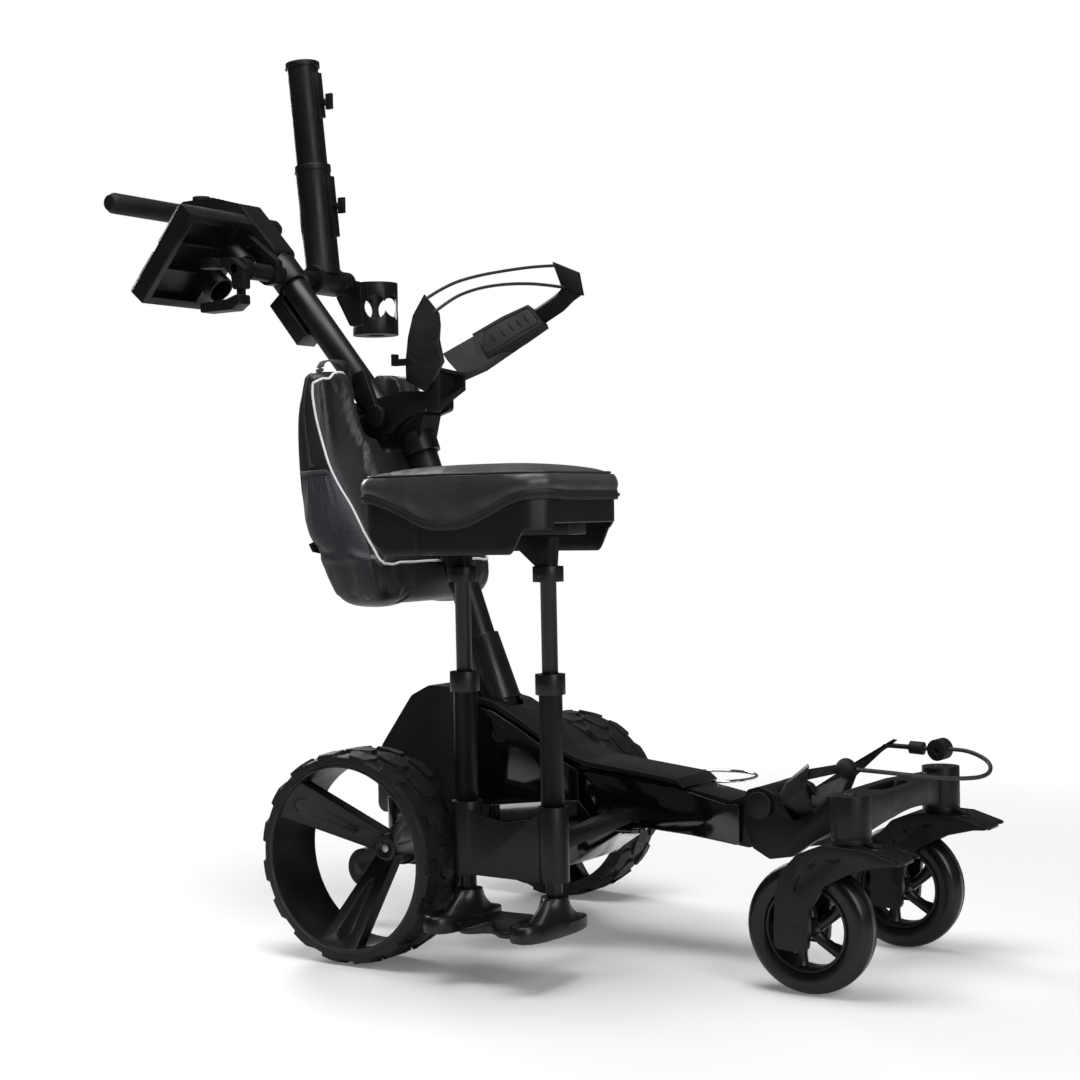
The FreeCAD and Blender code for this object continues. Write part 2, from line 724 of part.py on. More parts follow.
def caster_fork(side):
    """Caster fork: stem, arched top plate with a front flange, and two legs down to the axle."""
    y = side * stem_y
    wheel_x = stem_x - caster_trail
    outer = fork_inner + fork_leg
    fork = rod(stem(side, fork_plate_high - 4), stem(side, stem_housing_high - 7), stem_radius)
    plate = side_plate([(622, 179), (650, 192), (684, 198.6), (736, 198.6), (782, 184), (782, 178), (742, 180),
                        (684, 179)], y - outer, y + outer, 4)
    collar = rod(stem(side, fork_plate_low), stem(side, fork_plate_high), 24)
    tip_left = slab(738, 800, y + 20, y + outer + 1, 150, 220)
    tip_right = slab(738, 800, y - outer - 1, y - 20, 150, 220)
    fork = fork.fuse(plate.cut(tip_left).cut(tip_right)).fuse(collar)
    for flank in (-1, 1):
        inner_y = y + flank * fork_inner
        outer_y = y + flank * outer
        leg = side_plate([(wheel_x - 22, 62), (wheel_x + 18, 62), (wheel_x + 24, 104), (wheel_x + 70, 184),
                          (wheel_x + 40, 194), (wheel_x - 24, 181)],
                         min(inner_y, outer_y), max(inner_y, outer_y), 7)
        fork = fork.fuse(leg)
    bolt = rod(V(wheel_x, y - outer - 4, caster_radius), V(wheel_x, y + outer + 4, caster_radius),
               caster_axle_radius)
    fork = fork.fuse(bolt)
    peg = V(stem_x + peg_forward, y + peg_aside, 160)
    return fork.cut(rod(peg, peg + V(0, 0, 60), peg_radius + running)).removeSplitter()


def caster_wheel(side):
    """Caster tyre and its spoked centre."""
    y = side * stem_y
    half = caster_width / 2
    centre = V(stem_x - caster_trail, 0, caster_radius)
    r0 = caster_rim_radius
    r1 = caster_radius
    profile = [(r0, y - half + 4), (r0 + 8, y - half), (r1 - 10, y - half + 2), (r1 - 2, y - half + 9),
               (r1, y - half + 16), (r1, y + half - 16), (r1 - 2, y + half - 9), (r1 - 10, y + half - 2),
               (r0 + 8, y + half), (r0, y + half - 4)]
    tyre = turned(profile, centre)
    axis_low = V(centre.x, y - half + 4, centre.z)
    axis_high = V(centre.x, y + half - 4, centre.z)
    rim = rod(axis_low, axis_high, r0)
    hub = rod(V(centre.x, y - fork_inner + gap, centre.z), V(centre.x, y + fork_inner - gap, centre.z), 14)
    rim = rim.fuse(hub)
    for i in range(5):
        angle = math.radians(90 + i * 72)
        spot = V(math.cos(angle) * 34, 0, math.sin(angle) * 34)
        rim = rim.cut(rod(axis_low + spot - Y_AXIS, axis_high + spot + Y_AXIS, 15))
    rim = rim.cut(rod(V(centre.x, y - 60, centre.z), V(centre.x, y + 60, centre.z),
                      caster_axle_radius + running))
    return Part.makeCompound([tyre, rim])


def lock_peg(side):
    """Peg that locks the caster straight ahead; it lifts to free the swivel."""
    foot = V(stem_x + peg_forward, side * stem_y + peg_aside, 176)
    seat = V(foot.x, foot.y, fork_plate_high + gap)
    head = rod(seat, seat + V(0, 0, peg_head), peg_radius + 2.5)
    return rod(foot, seat + V(0, 0, 2), peg_radius).fuse(head).removeSplitter()


def lower_cradle():
    """Two wings on the yoke that the golf bag's foot rests on; the left one ends in a loop."""
    right = bar_loft([(V(575, -44, 212), V(26, -6, 10), V(-2, 5, 4)),
                      (V(576, -66, 244), V(26, -10, 12), V(-3, 5, 2)),
                      (V(596, -84, 276), V(20, -8, 14), V(-3, 4, 1))])
    left = bar_loft([(V(575, 44, 212), V(26, 6, 10), V(-2, -5, 4)),
                     (V(580, 66, 244), V(26, 10, 12), V(-3, -5, 2)),
                     (V(618, 84, 276), V(20, 8, 12), V(-3, -4, 1)),
                     (V(650, 92, 298), V(12, 6, 8), V(-2, -3, 1))])
    eye = rod(V(650, 60, 296), V(646, 130, 298), 7)
    yoke = front_yoke()
    room = rod(V(fold_x, -80, fold_z), V(fold_x, 80, fold_z), fold_knuckle + 1)
    room = room.fuse(slab(500, 700, -beam_half - 2, beam_half + 2, 150, 400))
    return Part.makeCompound([right.cut(yoke).cut(room), left.cut(eye).cut(yoke).cut(room)])


def lower_strap():
    """Strap arm that ends in a ball, and the bead, hook and wrap on the elastic cord."""
    arm = bar_loft([(V(603, -84, 274), V(0, 2, 7), V(2, 3, 0)),
                    (V(652, -80, 285), V(0, 2, 6), V(1, 3, 0))])
    ball = Part.makeSphere(14, V(664, -78, 286))
    cradle = lower_cradle()
    wrap = pipe(V(724, 92, 294), V(728, 112, 295), 15, 4)
    bead = rod(V(684, 98, 296), V(704, 98, 295), 9)
    bead = bead.fuse(rod(V(690, 98, 296), V(651, 98, 297), 3.5)).fuse(rod(V(651, 101, 297), V(651, 84, 297), 3.5))
    return Part.makeCompound([arm.fuse(ball).cut(cradle), wrap, bead])


def lower_bungee():
    """Elastic cord from the ball around the front and back to the bead over the left caster."""
    points = [V(678, -76, 285), V(706, -62, 282), V(748, -34, 275), V(790, 8, 268), V(815, 50, 268),
              V(806, 88, 281), V(772, 102, 294), V(738, 102, 296), V(702, 98, 295)]
    return cord_tube("lower bungee", points, bungee_diameter)


# ==== handle ===================================================================================
def handle_point(along):
    """A point on the handle tube's axis."""
    lean = math.radians(handle_lean)
    return V(handle_x - along * math.sin(lean), 0, handle_z + along * math.cos(lean))


def handle_bar(low, high, radius):
    """A round bar on the handle's axis."""
    return rod(handle_point(low), handle_point(high), radius)


def upper_tube():
    """Handle tube from the pivot's ferrule to the console."""
    return pipe(handle_point(handle_low), handle_point(handle_high), handle_radius, handle_radius - handle_wall)


def tube_fittings():
    """Ferrule and knuckle on the handle's foot, and the gloss cassette under the tube."""
    knuckle = rod(V(pivot_x, -cheek_inner + gap, pivot_z), V(pivot_x, cheek_inner - gap, pivot_z),
                  knuckle_radius)
    ferrule = knuckle.fuse(handle_bar(ferrule_low, ferrule_high, cheek_inner - gap))
    ferrule = ferrule.cut(handle_bar(handle_low, handle_high, handle_radius))
    ferrule = ferrule.cut(rod(V(pivot_x, -50, pivot_z), V(pivot_x, 50, pivot_z), pivot_pin_radius + running))
    cassette = Part.makeBox(26, 44, 88, V(-46, -22, 106))
    cassette = leaning(cassette, V(handle_x, 0, handle_z), handle_lean)
    cassette = cassette.cut(handle_bar(0, handle_high, handle_radius))
    return Part.makeCompound([ferrule, cassette])


def latch_lever():
    """Cam lever on the right of the hinge that locks the handle."""
    start_y = -cheek_outer - gap
    boss = rod(V(pivot_x, start_y, pivot_z), V(pivot_x, start_y - 12, pivot_z), 18)
    blade = Part.makeBox(20, 12, 78, V(-10, start_y - 12, 0))
    blade = leaning(blade, V(pivot_x, 0, pivot_z), 22)
    return boss.fuse(blade).removeSplitter()


def console():
    """Control head on top of the handle tube, which reaches back to the hand grip."""
    profile = [(-350, 1070), (-380, 1044), (-456, 1112), (-548, 1126), (-570, 1150), (-558, console_top),
               (-486, console_top), (-428, 1158)]
    body = side_plate(profile, -console_half, console_half, 12)
    body = body.cut(handle_bar(0, handle_high, handle_radius))
    body = body.cut(accessory_sleeve_room())
    body = body.cut(rod(V(grip_x, -60, grip_z), V(grip_x, 60, grip_z), bar_radius))
    body = body.cut(rod(V(dial_x, 0, console_top - 11), V(dial_x, 0, console_top + 1), screw_radius + running))
    return body.cut(rod(V(button_x, 0, console_top - 8), V(button_x, 0, console_top + 1),
                        button_radius + running))


def handlebar():
    """Steel cross bar with a moulded grip on each side of the console."""
    solids = [rod(V(grip_x, -grip_half + 4, grip_z), V(grip_x, grip_half - 4, grip_z), bar_radius)]
    for _, side in SIDES:
        grip = rod(V(grip_x, side * console_half, grip_z), V(grip_x, side * (grip_half - 10), grip_z),
                   grip_radius)
        cap = Part.makeCone(grip_radius, grip_radius - 5, 10, V(grip_x, side * (grip_half - 10), grip_z),
                            V(0, side, 0))
        grip = grip.fuse(cap).cut(rod(V(grip_x, -grip_half + 4, grip_z), V(grip_x, grip_half - 4, grip_z),
                                      bar_radius))
        solids.append(grip)
    return Part.makeCompound(solids)


def speed_dial():
    """Speed dial on top of the console."""
    disc = rod(V(dial_x, 0, console_top + gap), V(dial_x, 0, console_top + 9), dial_radius)
    return disc.fuse(rod(V(dial_x, 0, console_top - 10), V(dial_x, 0, console_top + 4), screw_radius))


def power_button():
    """Push button in front of the dial."""
    return rod(V(button_x, 0, console_top - 8 + button_travel + gap), V(button_x, 0, console_top + 3),
               button_radius)


def accessory_sleeve_room():
    """The space that the accessory clamp takes up around the handle tube."""
    lean = math.radians(handle_lean)
    along = (accessory_z - handle_z) / math.cos(lean)
    return handle_bar(along - 24, along + 24, handle_radius + 6 + gap)


def accessory_tube():
    """Clamp around the handle tube with a stub out to each side that carries the accessories."""
    lean = math.radians(handle_lean)
    along = (accessory_z - handle_z) / math.cos(lean)
    sleeve = handle_bar(along - 22, along + 22, handle_radius + 6)
    axis = {-1: 108, 1: knuckle_y0 - gap}
    pin = {-1: 126, 1: 150}
    for side in (-1, 1):
        stub = rod(V(accessory_x, 0, accessory_z), V(accessory_x, side * axis[side], accessory_z), stub_radius)
        tip = rod(V(accessory_x, 0, accessory_z), V(accessory_x, side * pin[side], accessory_z), accessory_pin)
        sleeve = sleeve.fuse(stub).fuse(tip)
    return sleeve.cut(handle_bar(0, handle_high + 10, handle_radius)).removeSplitter()


# ---- scorecard holder: built upright about its top edge, +X facing forward, then tipped -----------
def card_place(shape):
    """Puts a scorecard piece, built hanging down from its top edge, at its place on the handle."""
    shape.Placement = FreeCAD.Placement(V(card_x, 0, card_z), FreeCAD.Rotation(Y_AXIS, card_lean))
    return shape


def scorecard_tray():
    """Card tray with a ribbed hollow underside, two ball cups and a bracket to the accessory stub."""
    tray = Part.makeBox(card_depth, card_far - card_near, card_length, V(0, card_near, -card_length))
    pocket = Part.makeBox(card_depth, card_far - card_near - 2 * card_wall - 40, card_length - 2 * card_wall - 20,
                          V(card_wall + 4, card_near + card_wall + 10, -card_length + card_wall + 10))
    tray = tray.cut(pocket)
    for along in (-60, -110):
        rib = Part.makeBox(card_depth - 12, card_far - card_near - 40, 2.5, V(4, card_near + 10, along))
        tray = tray.fuse(rib)
    bores = []
    for y, z in ball_cups:
        base = V(card_depth - 6, y, z)
        tray = tray.fuse(rod(base, base + V(38, 0, 0), 23))
        bores.append(card_place(rod(base + V(6, 0, 0), base + V(60, 0, 0), 20.5)))
    tray = card_place(tray.removeSplitter())
    arm = side_plate([(-384, 1098), (-326, 1052), (-326, 1016), (-352, 1014), (-444, 1070), (-446, 1100)],
                     -54, -40, 8)
    window = side_plate([(-380, 1080), (-352, 1056), (-362, 1042), (-414, 1070), (-414, 1084)], -70, -30, 4)
    arm = arm.cut(window)
    solid = tray.fuse(arm.cut(card_interior()))
    stub_hole = rod(V(accessory_x, -130, accessory_z), V(accessory_x, 0, accessory_z), stub_radius + running)
    for bore in bores:
        solid = solid.cut(bore)
    return solid.cut(stub_hole).cut(accessory_sleeve_room()).removeSplitter()


def card_interior():
    """The block that the card tray fills, so that its bracket stops at its outside."""
    block = Part.makeBox(card_depth + 58, card_far - card_near + 20, card_length, V(-60, card_near, -card_length))
    return card_place(block)


def scorecard_lid():
    """Clear lid hinged along the tray's top edge."""
    lid = Part.makeBox(lid_thickness, card_far - card_near, card_length - 3,
                       V(-lid_thickness - gap, card_near, -card_length))
    roll = rod(V(-lid_thickness / 2 - gap, card_near, -3), V(-lid_thickness / 2 - gap, card_far, -3), 1.5)
    notch = rod(V(-10, card_near, -card_length / 2), V(10, card_near, -card_length / 2), 9)
    return card_place(lid.fuse(roll).cut(notch).removeSplitter())


# ---- phone holder -------------------------------------------------------------------------------
def gps_holder():
    """Holder for a phone or range finder, on the right stub; its upper jaw is fixed."""
    y0 = -108 - gap
    hub = rod(V(accessory_x, y0, accessory_z), V(accessory_x, y0 - 16, accessory_z), 19)
    arm = side_plate([(-404, 1052), (-350, 1052), (-322, 1032), (-322, 1000), (-346, 1000), (-350, 1022),
                      (-364, 1036), (-404, 1036)], y0 - 30, y0 - 16, 4)
    jaw = side_plate([(-404, 1052), (-372, 1052), (-372, 1036), (-404, 1036)], y0 - 44, y0 - 16, 4)
    holder = hub.fuse(arm).fuse(jaw)
    guide = slab(-342, -328, y0 - 27, y0 - 19, 980, 1032)
    holder = holder.cut(rod(V(accessory_x, -160, accessory_z), V(accessory_x, -100, accessory_z),
                            accessory_pin + running))
    return holder.cut(guide).removeSplitter()


def gps_jaw():
    """Lower jaw of the phone holder, which slides down to open."""
    y0 = -108 - gap
    tongue = slab(-342 + running, -328 - running, y0 - 27 + running, y0 - 19 - running, 976, 1030)
    jaw = side_plate([(-404, 966), (-404, 982), (-350, 984), (-322, 992), (-322, 976), (-338, 966)],
                     y0 - 44, y0 - 16, 4)
    return tongue.fuse(jaw).removeSplitter()


# ---- umbrella holder ----------------------------------------------------------------------------
def umbrella_point(z):
    """A point on the umbrella tube's axis at a height."""
    rise = z - accessory_z
    return V(accessory_x - rise * math.tan(math.radians(umbrella_lean)), umbrella_y, z)


def screw_seat(z):
    """Where a thumb screw's axis meets the umbrella tube's axis."""
    return umbrella_point(z)


lower_screw_z = 1156
upper_screw_z = 1332


def umbrella_base():
    """Knuckle on the left stub with the umbrella holder's lower tube and its clamp boss."""
    knuckle = rod(V(accessory_x, knuckle_y0, accessory_z), V(accessory_x, knuckle_y1, accessory_z), 24)
    tube = rod(umbrella_point(accessory_z + 10), umbrella_point(umbrella_stage_z), umbrella_outer)
    lip = rod(umbrella_point(umbrella_stage_z - 10), umbrella_point(umbrella_stage_z), umbrella_outer + 1.5)
    boss = slab(0, 38, umbrella_y - 8, umbrella_y + 8, -54, 48)
    boss.Placement = FreeCAD.Placement(V(screw_seat(lower_screw_z).x, 0, lower_screw_z),
                                       FreeCAD.Rotation(Y_AXIS, -umbrella_lean))
    base = knuckle.fuse(tube).fuse(lip).fuse(boss)
    floor_z = umbrella_stage_z - 82 - umbrella_travel
    base = base.cut(rod(umbrella_point(floor_z), umbrella_point(umbrella_stage_z + 5),
                        umbrella_middle + running))
    base = base.cut(rod(V(accessory_x, 40, accessory_z), V(accessory_x, 170, accessory_z),
                        accessory_pin + running))
    screw = screw_seat(lower_screw_z)
    return base.cut(rod(screw, screw + V(60, 0, 0), screw_radius + running)).removeSplitter()


def umbrella_stage():
    """Upper umbrella tube that slides in the lower one, with its own clamp boss."""
    low = umbrella_point(umbrella_stage_z - 80)
    high = umbrella_point(umbrella_top_z)
    tube = rod(low, high, umbrella_middle)
    lip = rod(umbrella_point(umbrella_top_z - 8), high, umbrella_outer)
    boss = slab(0, 34, umbrella_y - 7, umbrella_y + 7, -28, 48)
    boss.Placement = FreeCAD.Placement(V(screw_seat(upper_screw_z).x, 0, upper_screw_z),
                                       FreeCAD.Rotation(Y_AXIS, -umbrella_lean))
    stage = tube.fuse(lip).fuse(boss)
    stage = stage.cut(rod(umbrella_point(umbrella_stage_z - 81), umbrella_point(umbrella_top_z + 5),
                          umbrella_bore))
    screw = screw_seat(upper_screw_z)
    return stage.cut(rod(screw, screw + V(60, 0, 0), screw_radius + running)).removeSplitter()


def thumb_screw(z, inner, outer):
    """Wing-headed clamp screw, pointing forward out of a boss."""
    centre = screw_seat(z)
    shank = rod(centre + V(inner, 0, 0), centre + V(outer + 14, 0, 0), screw_radius)
    neck = rod(centre + V(outer + 3, 0, 0), centre + V(outer + 12, 0, 0), screw_radius + 3)
    wing = slab(centre.x + outer + 10, centre.x + outer + 22, centre.y - 3, centre.y + 3, z - 13, z + 13)
    return shank.fuse(neck).fuse(wing).removeSplitter()


def drink_holder():
    """Drinks holder: a pierced cup on an arm from the left stub."""
    arm = rod(V(accessory_x, knuckle_y1 + gap, accessory_z), V(accessory_x, 150, accessory_z), 20)
    strut = side_plate([(accessory_x - 16, 1040), (accessory_x + 30, 1036), (accessory_x + 40, 960),
                        (accessory_x + 12, 960), (accessory_x - 16, 1010)], 141, 150, 6)
    block = slab(cup_centre.x - 12, cup_centre.x + 12, 141, cup_centre.y - cup_radius + 6, 962, 1030)
    foot = V(cup_centre.x, cup_centre.y, cup_low)
    cup = rod(foot, V(cup_centre.x, cup_centre.y, cup_high), cup_radius)
    solid = cup.fuse(arm).fuse(strut).fuse(block)
    solid = solid.cut(rod(foot + V(0, 0, 3), foot + V(0, 0, 120), cup_radius - cup_wall))
    mid = V(cup_centre.x, cup_centre.y, (cup_low + cup_high) / 2 + 4)
    solid = solid.cut(rod(mid - V(80, 0, 0), mid + V(80, 0, 0), cup_hole_radius))
    solid = solid.cut(rod(mid, mid + V(0, 80, 0), cup_hole_radius))
    solid = solid.cut(rod(foot - V(0, 0, 5), foot + V(0, 0, 5), 16))
    return solid.cut(rod(V(accessory_x, 100, accessory_z), V(accessory_x, 160, accessory_z),
                         accessory_pin + running)).removeSplitter()


# ==== seat =====================================================================================
def seat_bracket():
    """Bar from the beam out to the seat, two leg sleeves and the dipped web between them."""
    bar = bar_loft([(V(300, -beam_half - 8, 196), V(16, 0, 0), V(0, 0, 9)),
                    (V(318, leg_y + sleeve_radius - 2, 188), V(13, 0, 0), V(0, 0, 8))])
    foot = slab(276, 324, -beam_half - 8, -beam_half, 184, 210)
    bracket = bar.fuse(foot)
    for x in leg_xs:
        bracket = bracket.fuse(rod(V(x, leg_y, sleeve_low), V(x, leg_y, sleeve_high), sleeve_radius))
    web = side_plate([(leg_xs[0], sleeve_low + 2), (leg_xs[1], sleeve_low - 0), (leg_xs[1], 236),
                      (leg_xs[1] - 30, 222), (leg_xs[0] + 70, 214), (leg_xs[0] + 30, 222), (leg_xs[0], 236)],
                     leg_y - 16, leg_y - 8, 6)
    bracket = bracket.fuse(web)
    for x in leg_xs:
        bracket = bracket.cut(rod(V(x, leg_y, sleeve_low - 1), V(x, leg_y, sleeve_low + 14),
                                  post_radius + running))
        bracket = bracket.cut(rod(V(x, leg_y, sleeve_low + 14), V(x, leg_y, sleeve_high + 1),
                                  leg_tube_radius))
    return bracket.removeSplitter()


def seat_outer_tubes():
    """The two fixed leg tubes with the guide collar on each."""
    solids = []
    for x in leg_xs:
        solids.append(pipe(V(x, leg_y, sleeve_low + 14), V(x, leg_y, leg_tube_top), leg_tube_radius,
                           leg_tube_radius - leg_tube_wall))
        collar = rod(V(x, leg_y, leg_tube_top - collar_height), V(x, leg_y, leg_tube_top + 4), collar_radius)
        collar = collar.cut(rod(V(x, leg_y, 300), V(x, leg_y, leg_tube_top), leg_tube_radius))
        solids.append(collar.cut(rod(V(x, leg_y, 300), V(x, leg_y, 500), post_radius + running)))
    return Part.makeCompound(solids)


def seat_posts():
    """The two sliding posts, each with a clamp collar and a triangular bracket under the seat."""
    solids = []
    for x in leg_xs:
        post = rod(V(x, leg_y, foot_high), V(x, leg_y, post_top), post_radius)
        collar = rod(V(x, leg_y, 543), V(x, leg_y, 564), sleeve_radius)
        gusset = side_plate([(x - 8, 560), (x + 8, 560), (x + 12, post_top), (x - 46, post_top), (x - 46, 592)],
                            leg_y - 12, leg_y + 12, 3)
        solids.append(post.fuse(collar).fuse(gusset).removeSplitter())
    return Part.makeCompound(solids)


def seat_feet():
    """Two feet on the sliding posts, joined by a lobed plate."""
    solid = None
    for x in leg_xs:
        neck = rod(V(x, leg_y, foot_high - 12), V(x, leg_y, sleeve_low - gap), 18)
        neck = neck.cut(rod(V(x, leg_y, foot_high), V(x, leg_y, 300), post_radius))
        pad = plan_plate([(x - 24, leg_y + 60), (x + 24, leg_y + 60), (x + 26, leg_y - 60),
                          (x + 18, leg_y - 94), (x - 18, leg_y - 94), (x - 26, leg_y - 60)],
                         foot_low, foot_low + 26, 14)
        rise = Part.makeCone(25, 18, foot_high - foot_low - 12 - 26 + 2, V(x, leg_y, foot_low + 24), Z_AXIS)
        foot = pad.fuse(rise).fuse(neck)
        solid = foot if solid is None else solid.fuse(foot)
    plate = plan_plate([(leg_xs[0], leg_y - 24), (leg_xs[1], leg_y - 24), (leg_xs[1], leg_y + 34),
                        (leg_xs[0], leg_y + 34)], foot_low + 6, foot_low + 20, 8)
    return solid.fuse(plate).removeSplitter()


def seat_plan(inset):
    """The seat's outline from above, inset by a margin."""
    points = [(96, -210), (96, -380), (120, -402), (190, -406), (245, -418), (300, -406), (372, -402),
              (395, -380), (395, -214), (364, -180), (300, -176), (190, -176), (126, -180)]
    middle = V(seat_x, seat_y, 0)
    placed = []
    for x, y in points:
        shift_x = inset if x < middle.x else -inset
        shift_y = inset if y < middle.y else -inset
        placed.append((x + shift_x, y + shift_y))
    return placed


def seat_shell():
    """Moulded seat pan: a deck with a skirt that is deepest in the middle."""
    pan = plan_plate(seat_plan(0), shell_low, shell_top, 26)
    hollow = plan_plate(seat_plan(shell_wall), shell_low - 1, shell_deck, 24)
    pan = pan.cut(hollow)
    for x0, x1 in ((0, 136), (352, 500)):
        pan = pan.cut(slab(x0, x1, -460, -100, shell_low - 2, shell_low + 28))
    rail = slab(leg_xs[0] - 60, leg_xs[1] + 50, leg_y - 22, leg_y + 22, post_top, shell_deck)
    return pan.fuse(rail).removeSplitter()


def seat_cushion():
    """Padded seat cushion: a soft closed form on the pan."""
    base = shell_top + rest_gap
    low = plan_plate(seat_plan(-3), base, base + cushion_thickness * 0.62, 28)
    high = plan_plate(seat_plan(14), base + cushion_thickness * 0.62, base + cushion_thickness, 24)
    return low.fuse(high).removeSplitter()


# ==== the whole trolley ========================================================================
def main():
    """Builds and writes every sub-part."""
    os.makedirs("parts", exist_ok=True)
    for name, side in SIDES:
        save("rear_tyre_" + name, rear_tyre(side))
        save("rear_rim_" + name, rear_rim(side))
        save("axle_shaft_" + name, axle_shaft(side))
        save("anti_tip_wheel_" + name, tip_wheel(side))
        save("caster_fork_" + name, caster_fork(side))
        save("caster_wheel_" + name, caster_wheel(side))
        save("lock_peg_" + name, lock_peg(side))
    save("axle_housing", axle_housing())
    save("drive_units", drive_units())
    save("battery_pack", battery_pack())
    save("chassis_tray", chassis_tray())
    save("rear_cover", rear_cover())
    save("side_panels", side_panels())
    save("spine_cover", spine_cover())
    save("main_beam", main_beam())
    save("hinge_pins", hinge_pins())
    save("column_socket", column_socket())
    save("lower_column", lower_column())
    save("hinge_bracket", with_head(hinge_bracket()))
    save("cradle_arm_right", with_head(cradle_arm_right()))
    save("cradle_arm_left", with_head(cradle_arm_left()))
    save("cradle_strap", with_head(cradle_strap()))
    save("cradle_cord", with_head(cradle_cord()))
    save("cooler_bag", with_head(cooler_bag()))
    save("bottle_ring", bottle_ring())
    save("front_yoke", front_yoke())
    save("caster_bridge", caster_bridge())
    save("lower_cradle", lower_cradle())
    save("lower_strap", lower_strap())
    save("lower_bungee", lower_bungee())
    save("upper_tube", with_head(upper_tube()))
    save("tube_fittings", with_head(tube_fittings()))
    save("latch_lever", with_head(latch_lever()))
    save("console", with_head(console()))
    save("handlebar", with_head(handlebar()))
    save("speed_dial", with_head(speed_dial()))
    save("power_button", with_head(power_button()))
    save("accessory_tube", with_head(accessory_tube()))
    save("scorecard_tray", with_head(scorecard_tray()))
    save("scorecard_lid", with_head(scorecard_lid()))
    save("gps_holder", with_head(gps_holder()))
    save("gps_jaw", with_head(gps_jaw()))
    save("umbrella_base", with_head(umbrella_base()))
    save("umbrella_stage", with_head(umbrella_stage()))
    save("thumb_screw_lower", with_head(thumb_screw(lower_screw_z, umbrella_middle + 2.5 * gap, 38)))
    save("thumb_screw_upper", with_head(thumb_screw(upper_screw_z, umbrella_bore + 2.5 * gap, 34)))
    save("drink_holder", with_head(drink_holder()))
    save("seat_bracket", seat_bracket())
    save("seat_outer_tubes", seat_outer_tubes())
    save("seat_posts", seat_posts())
    save("seat_feet", seat_feet())
    save("seat_shell", seat_shell())
    save("seat_cushion", seat_cushion())


main()
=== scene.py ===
"""Looks of the electric golf trolley: surfaces, soft goods, cords and fine parts on the CAD frame.

Metres, +X forward, +Y to the trolley's left, +Z up. Origin on the ground under the rear axle.
"""
import json
import math

import bmesh
import bpy
from mathutils import Matrix, Vector

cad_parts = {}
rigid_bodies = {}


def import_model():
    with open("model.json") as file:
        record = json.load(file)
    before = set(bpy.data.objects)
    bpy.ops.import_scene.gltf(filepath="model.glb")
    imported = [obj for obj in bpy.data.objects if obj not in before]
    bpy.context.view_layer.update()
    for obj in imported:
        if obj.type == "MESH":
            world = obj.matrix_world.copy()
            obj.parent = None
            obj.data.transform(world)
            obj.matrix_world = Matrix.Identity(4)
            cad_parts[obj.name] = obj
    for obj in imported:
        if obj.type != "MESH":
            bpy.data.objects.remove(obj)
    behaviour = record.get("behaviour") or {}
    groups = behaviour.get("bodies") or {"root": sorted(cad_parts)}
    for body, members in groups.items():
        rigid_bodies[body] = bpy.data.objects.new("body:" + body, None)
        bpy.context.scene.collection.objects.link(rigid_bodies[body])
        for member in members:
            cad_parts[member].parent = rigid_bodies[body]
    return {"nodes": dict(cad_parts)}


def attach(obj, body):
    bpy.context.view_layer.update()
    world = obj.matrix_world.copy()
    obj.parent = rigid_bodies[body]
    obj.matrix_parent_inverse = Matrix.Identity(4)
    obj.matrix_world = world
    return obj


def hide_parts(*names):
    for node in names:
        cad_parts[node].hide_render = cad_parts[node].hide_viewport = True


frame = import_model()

for spare in [o for o in bpy.data.objects if o.type in {"CAMERA", "LIGHT"} or o.name == "Cube"]:
    bpy.data.objects.remove(spare)
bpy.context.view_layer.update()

bl_info = {
    "name": "Golf Trolley Looks",
    "version": (1, 0, 0),
    "blender": (4, 5, 0),
    "location": "View3D > Sidebar > Trolley",
    "description": "Dresses the golf trolley's CAD frame with its surfaces, soft goods and fine parts",
    "category": "Object",
}

SIDES = (("right", -1), ("left", 1))
MM = 0.001
V = Vector
SHARP = 35              # degrees: edges steeper than this stay sharp
EASED_FROM = 32         # degrees: edges steeper than this are rounded
FLAT_WITHIN = 1.5       # degrees: faces closer than this are joined into one
WELD_WITHIN = 2e-5      # metres between corners that are one corner
AXLE_Z = 152            # rear wheels, millimetres
TYRE_Y = 276.5
HUB_Y = 224
CASTER_X, CASTER_Y, CASTER_Z = 647, 156.5, 87.5
STEM_X = 705            # the casters' upright stems
LEGS_X = (181, 322)     # the seat's two legs
LEG_Y = -272


# ==== node and material helpers ================================================================
def linear(hex_colour):
    """An sRGB hex colour as linear red, green and blue."""
    parts = [int(hex_colour[i:i + 2], 16) / 255 for i in (0, 2, 4)]
    return tuple(p / 12.92 if p <= 0.04045 else ((p + 0.055) / 1.055) ** 2.4 for p in parts)


def add_node(tree, kind, inputs=None, **settings):
    """Adds a node with its settings, and sets or links its inputs by name or number."""
    node = tree.nodes.new(kind)
    for key, value in settings.items():
        setattr(node, key, value)
    for key, value in (inputs or {}).items():
        if isinstance(value, bpy.types.NodeSocket):
            tree.links.new(value, node.inputs[key])
        else:
            node.inputs[key].default_value = value
    return node


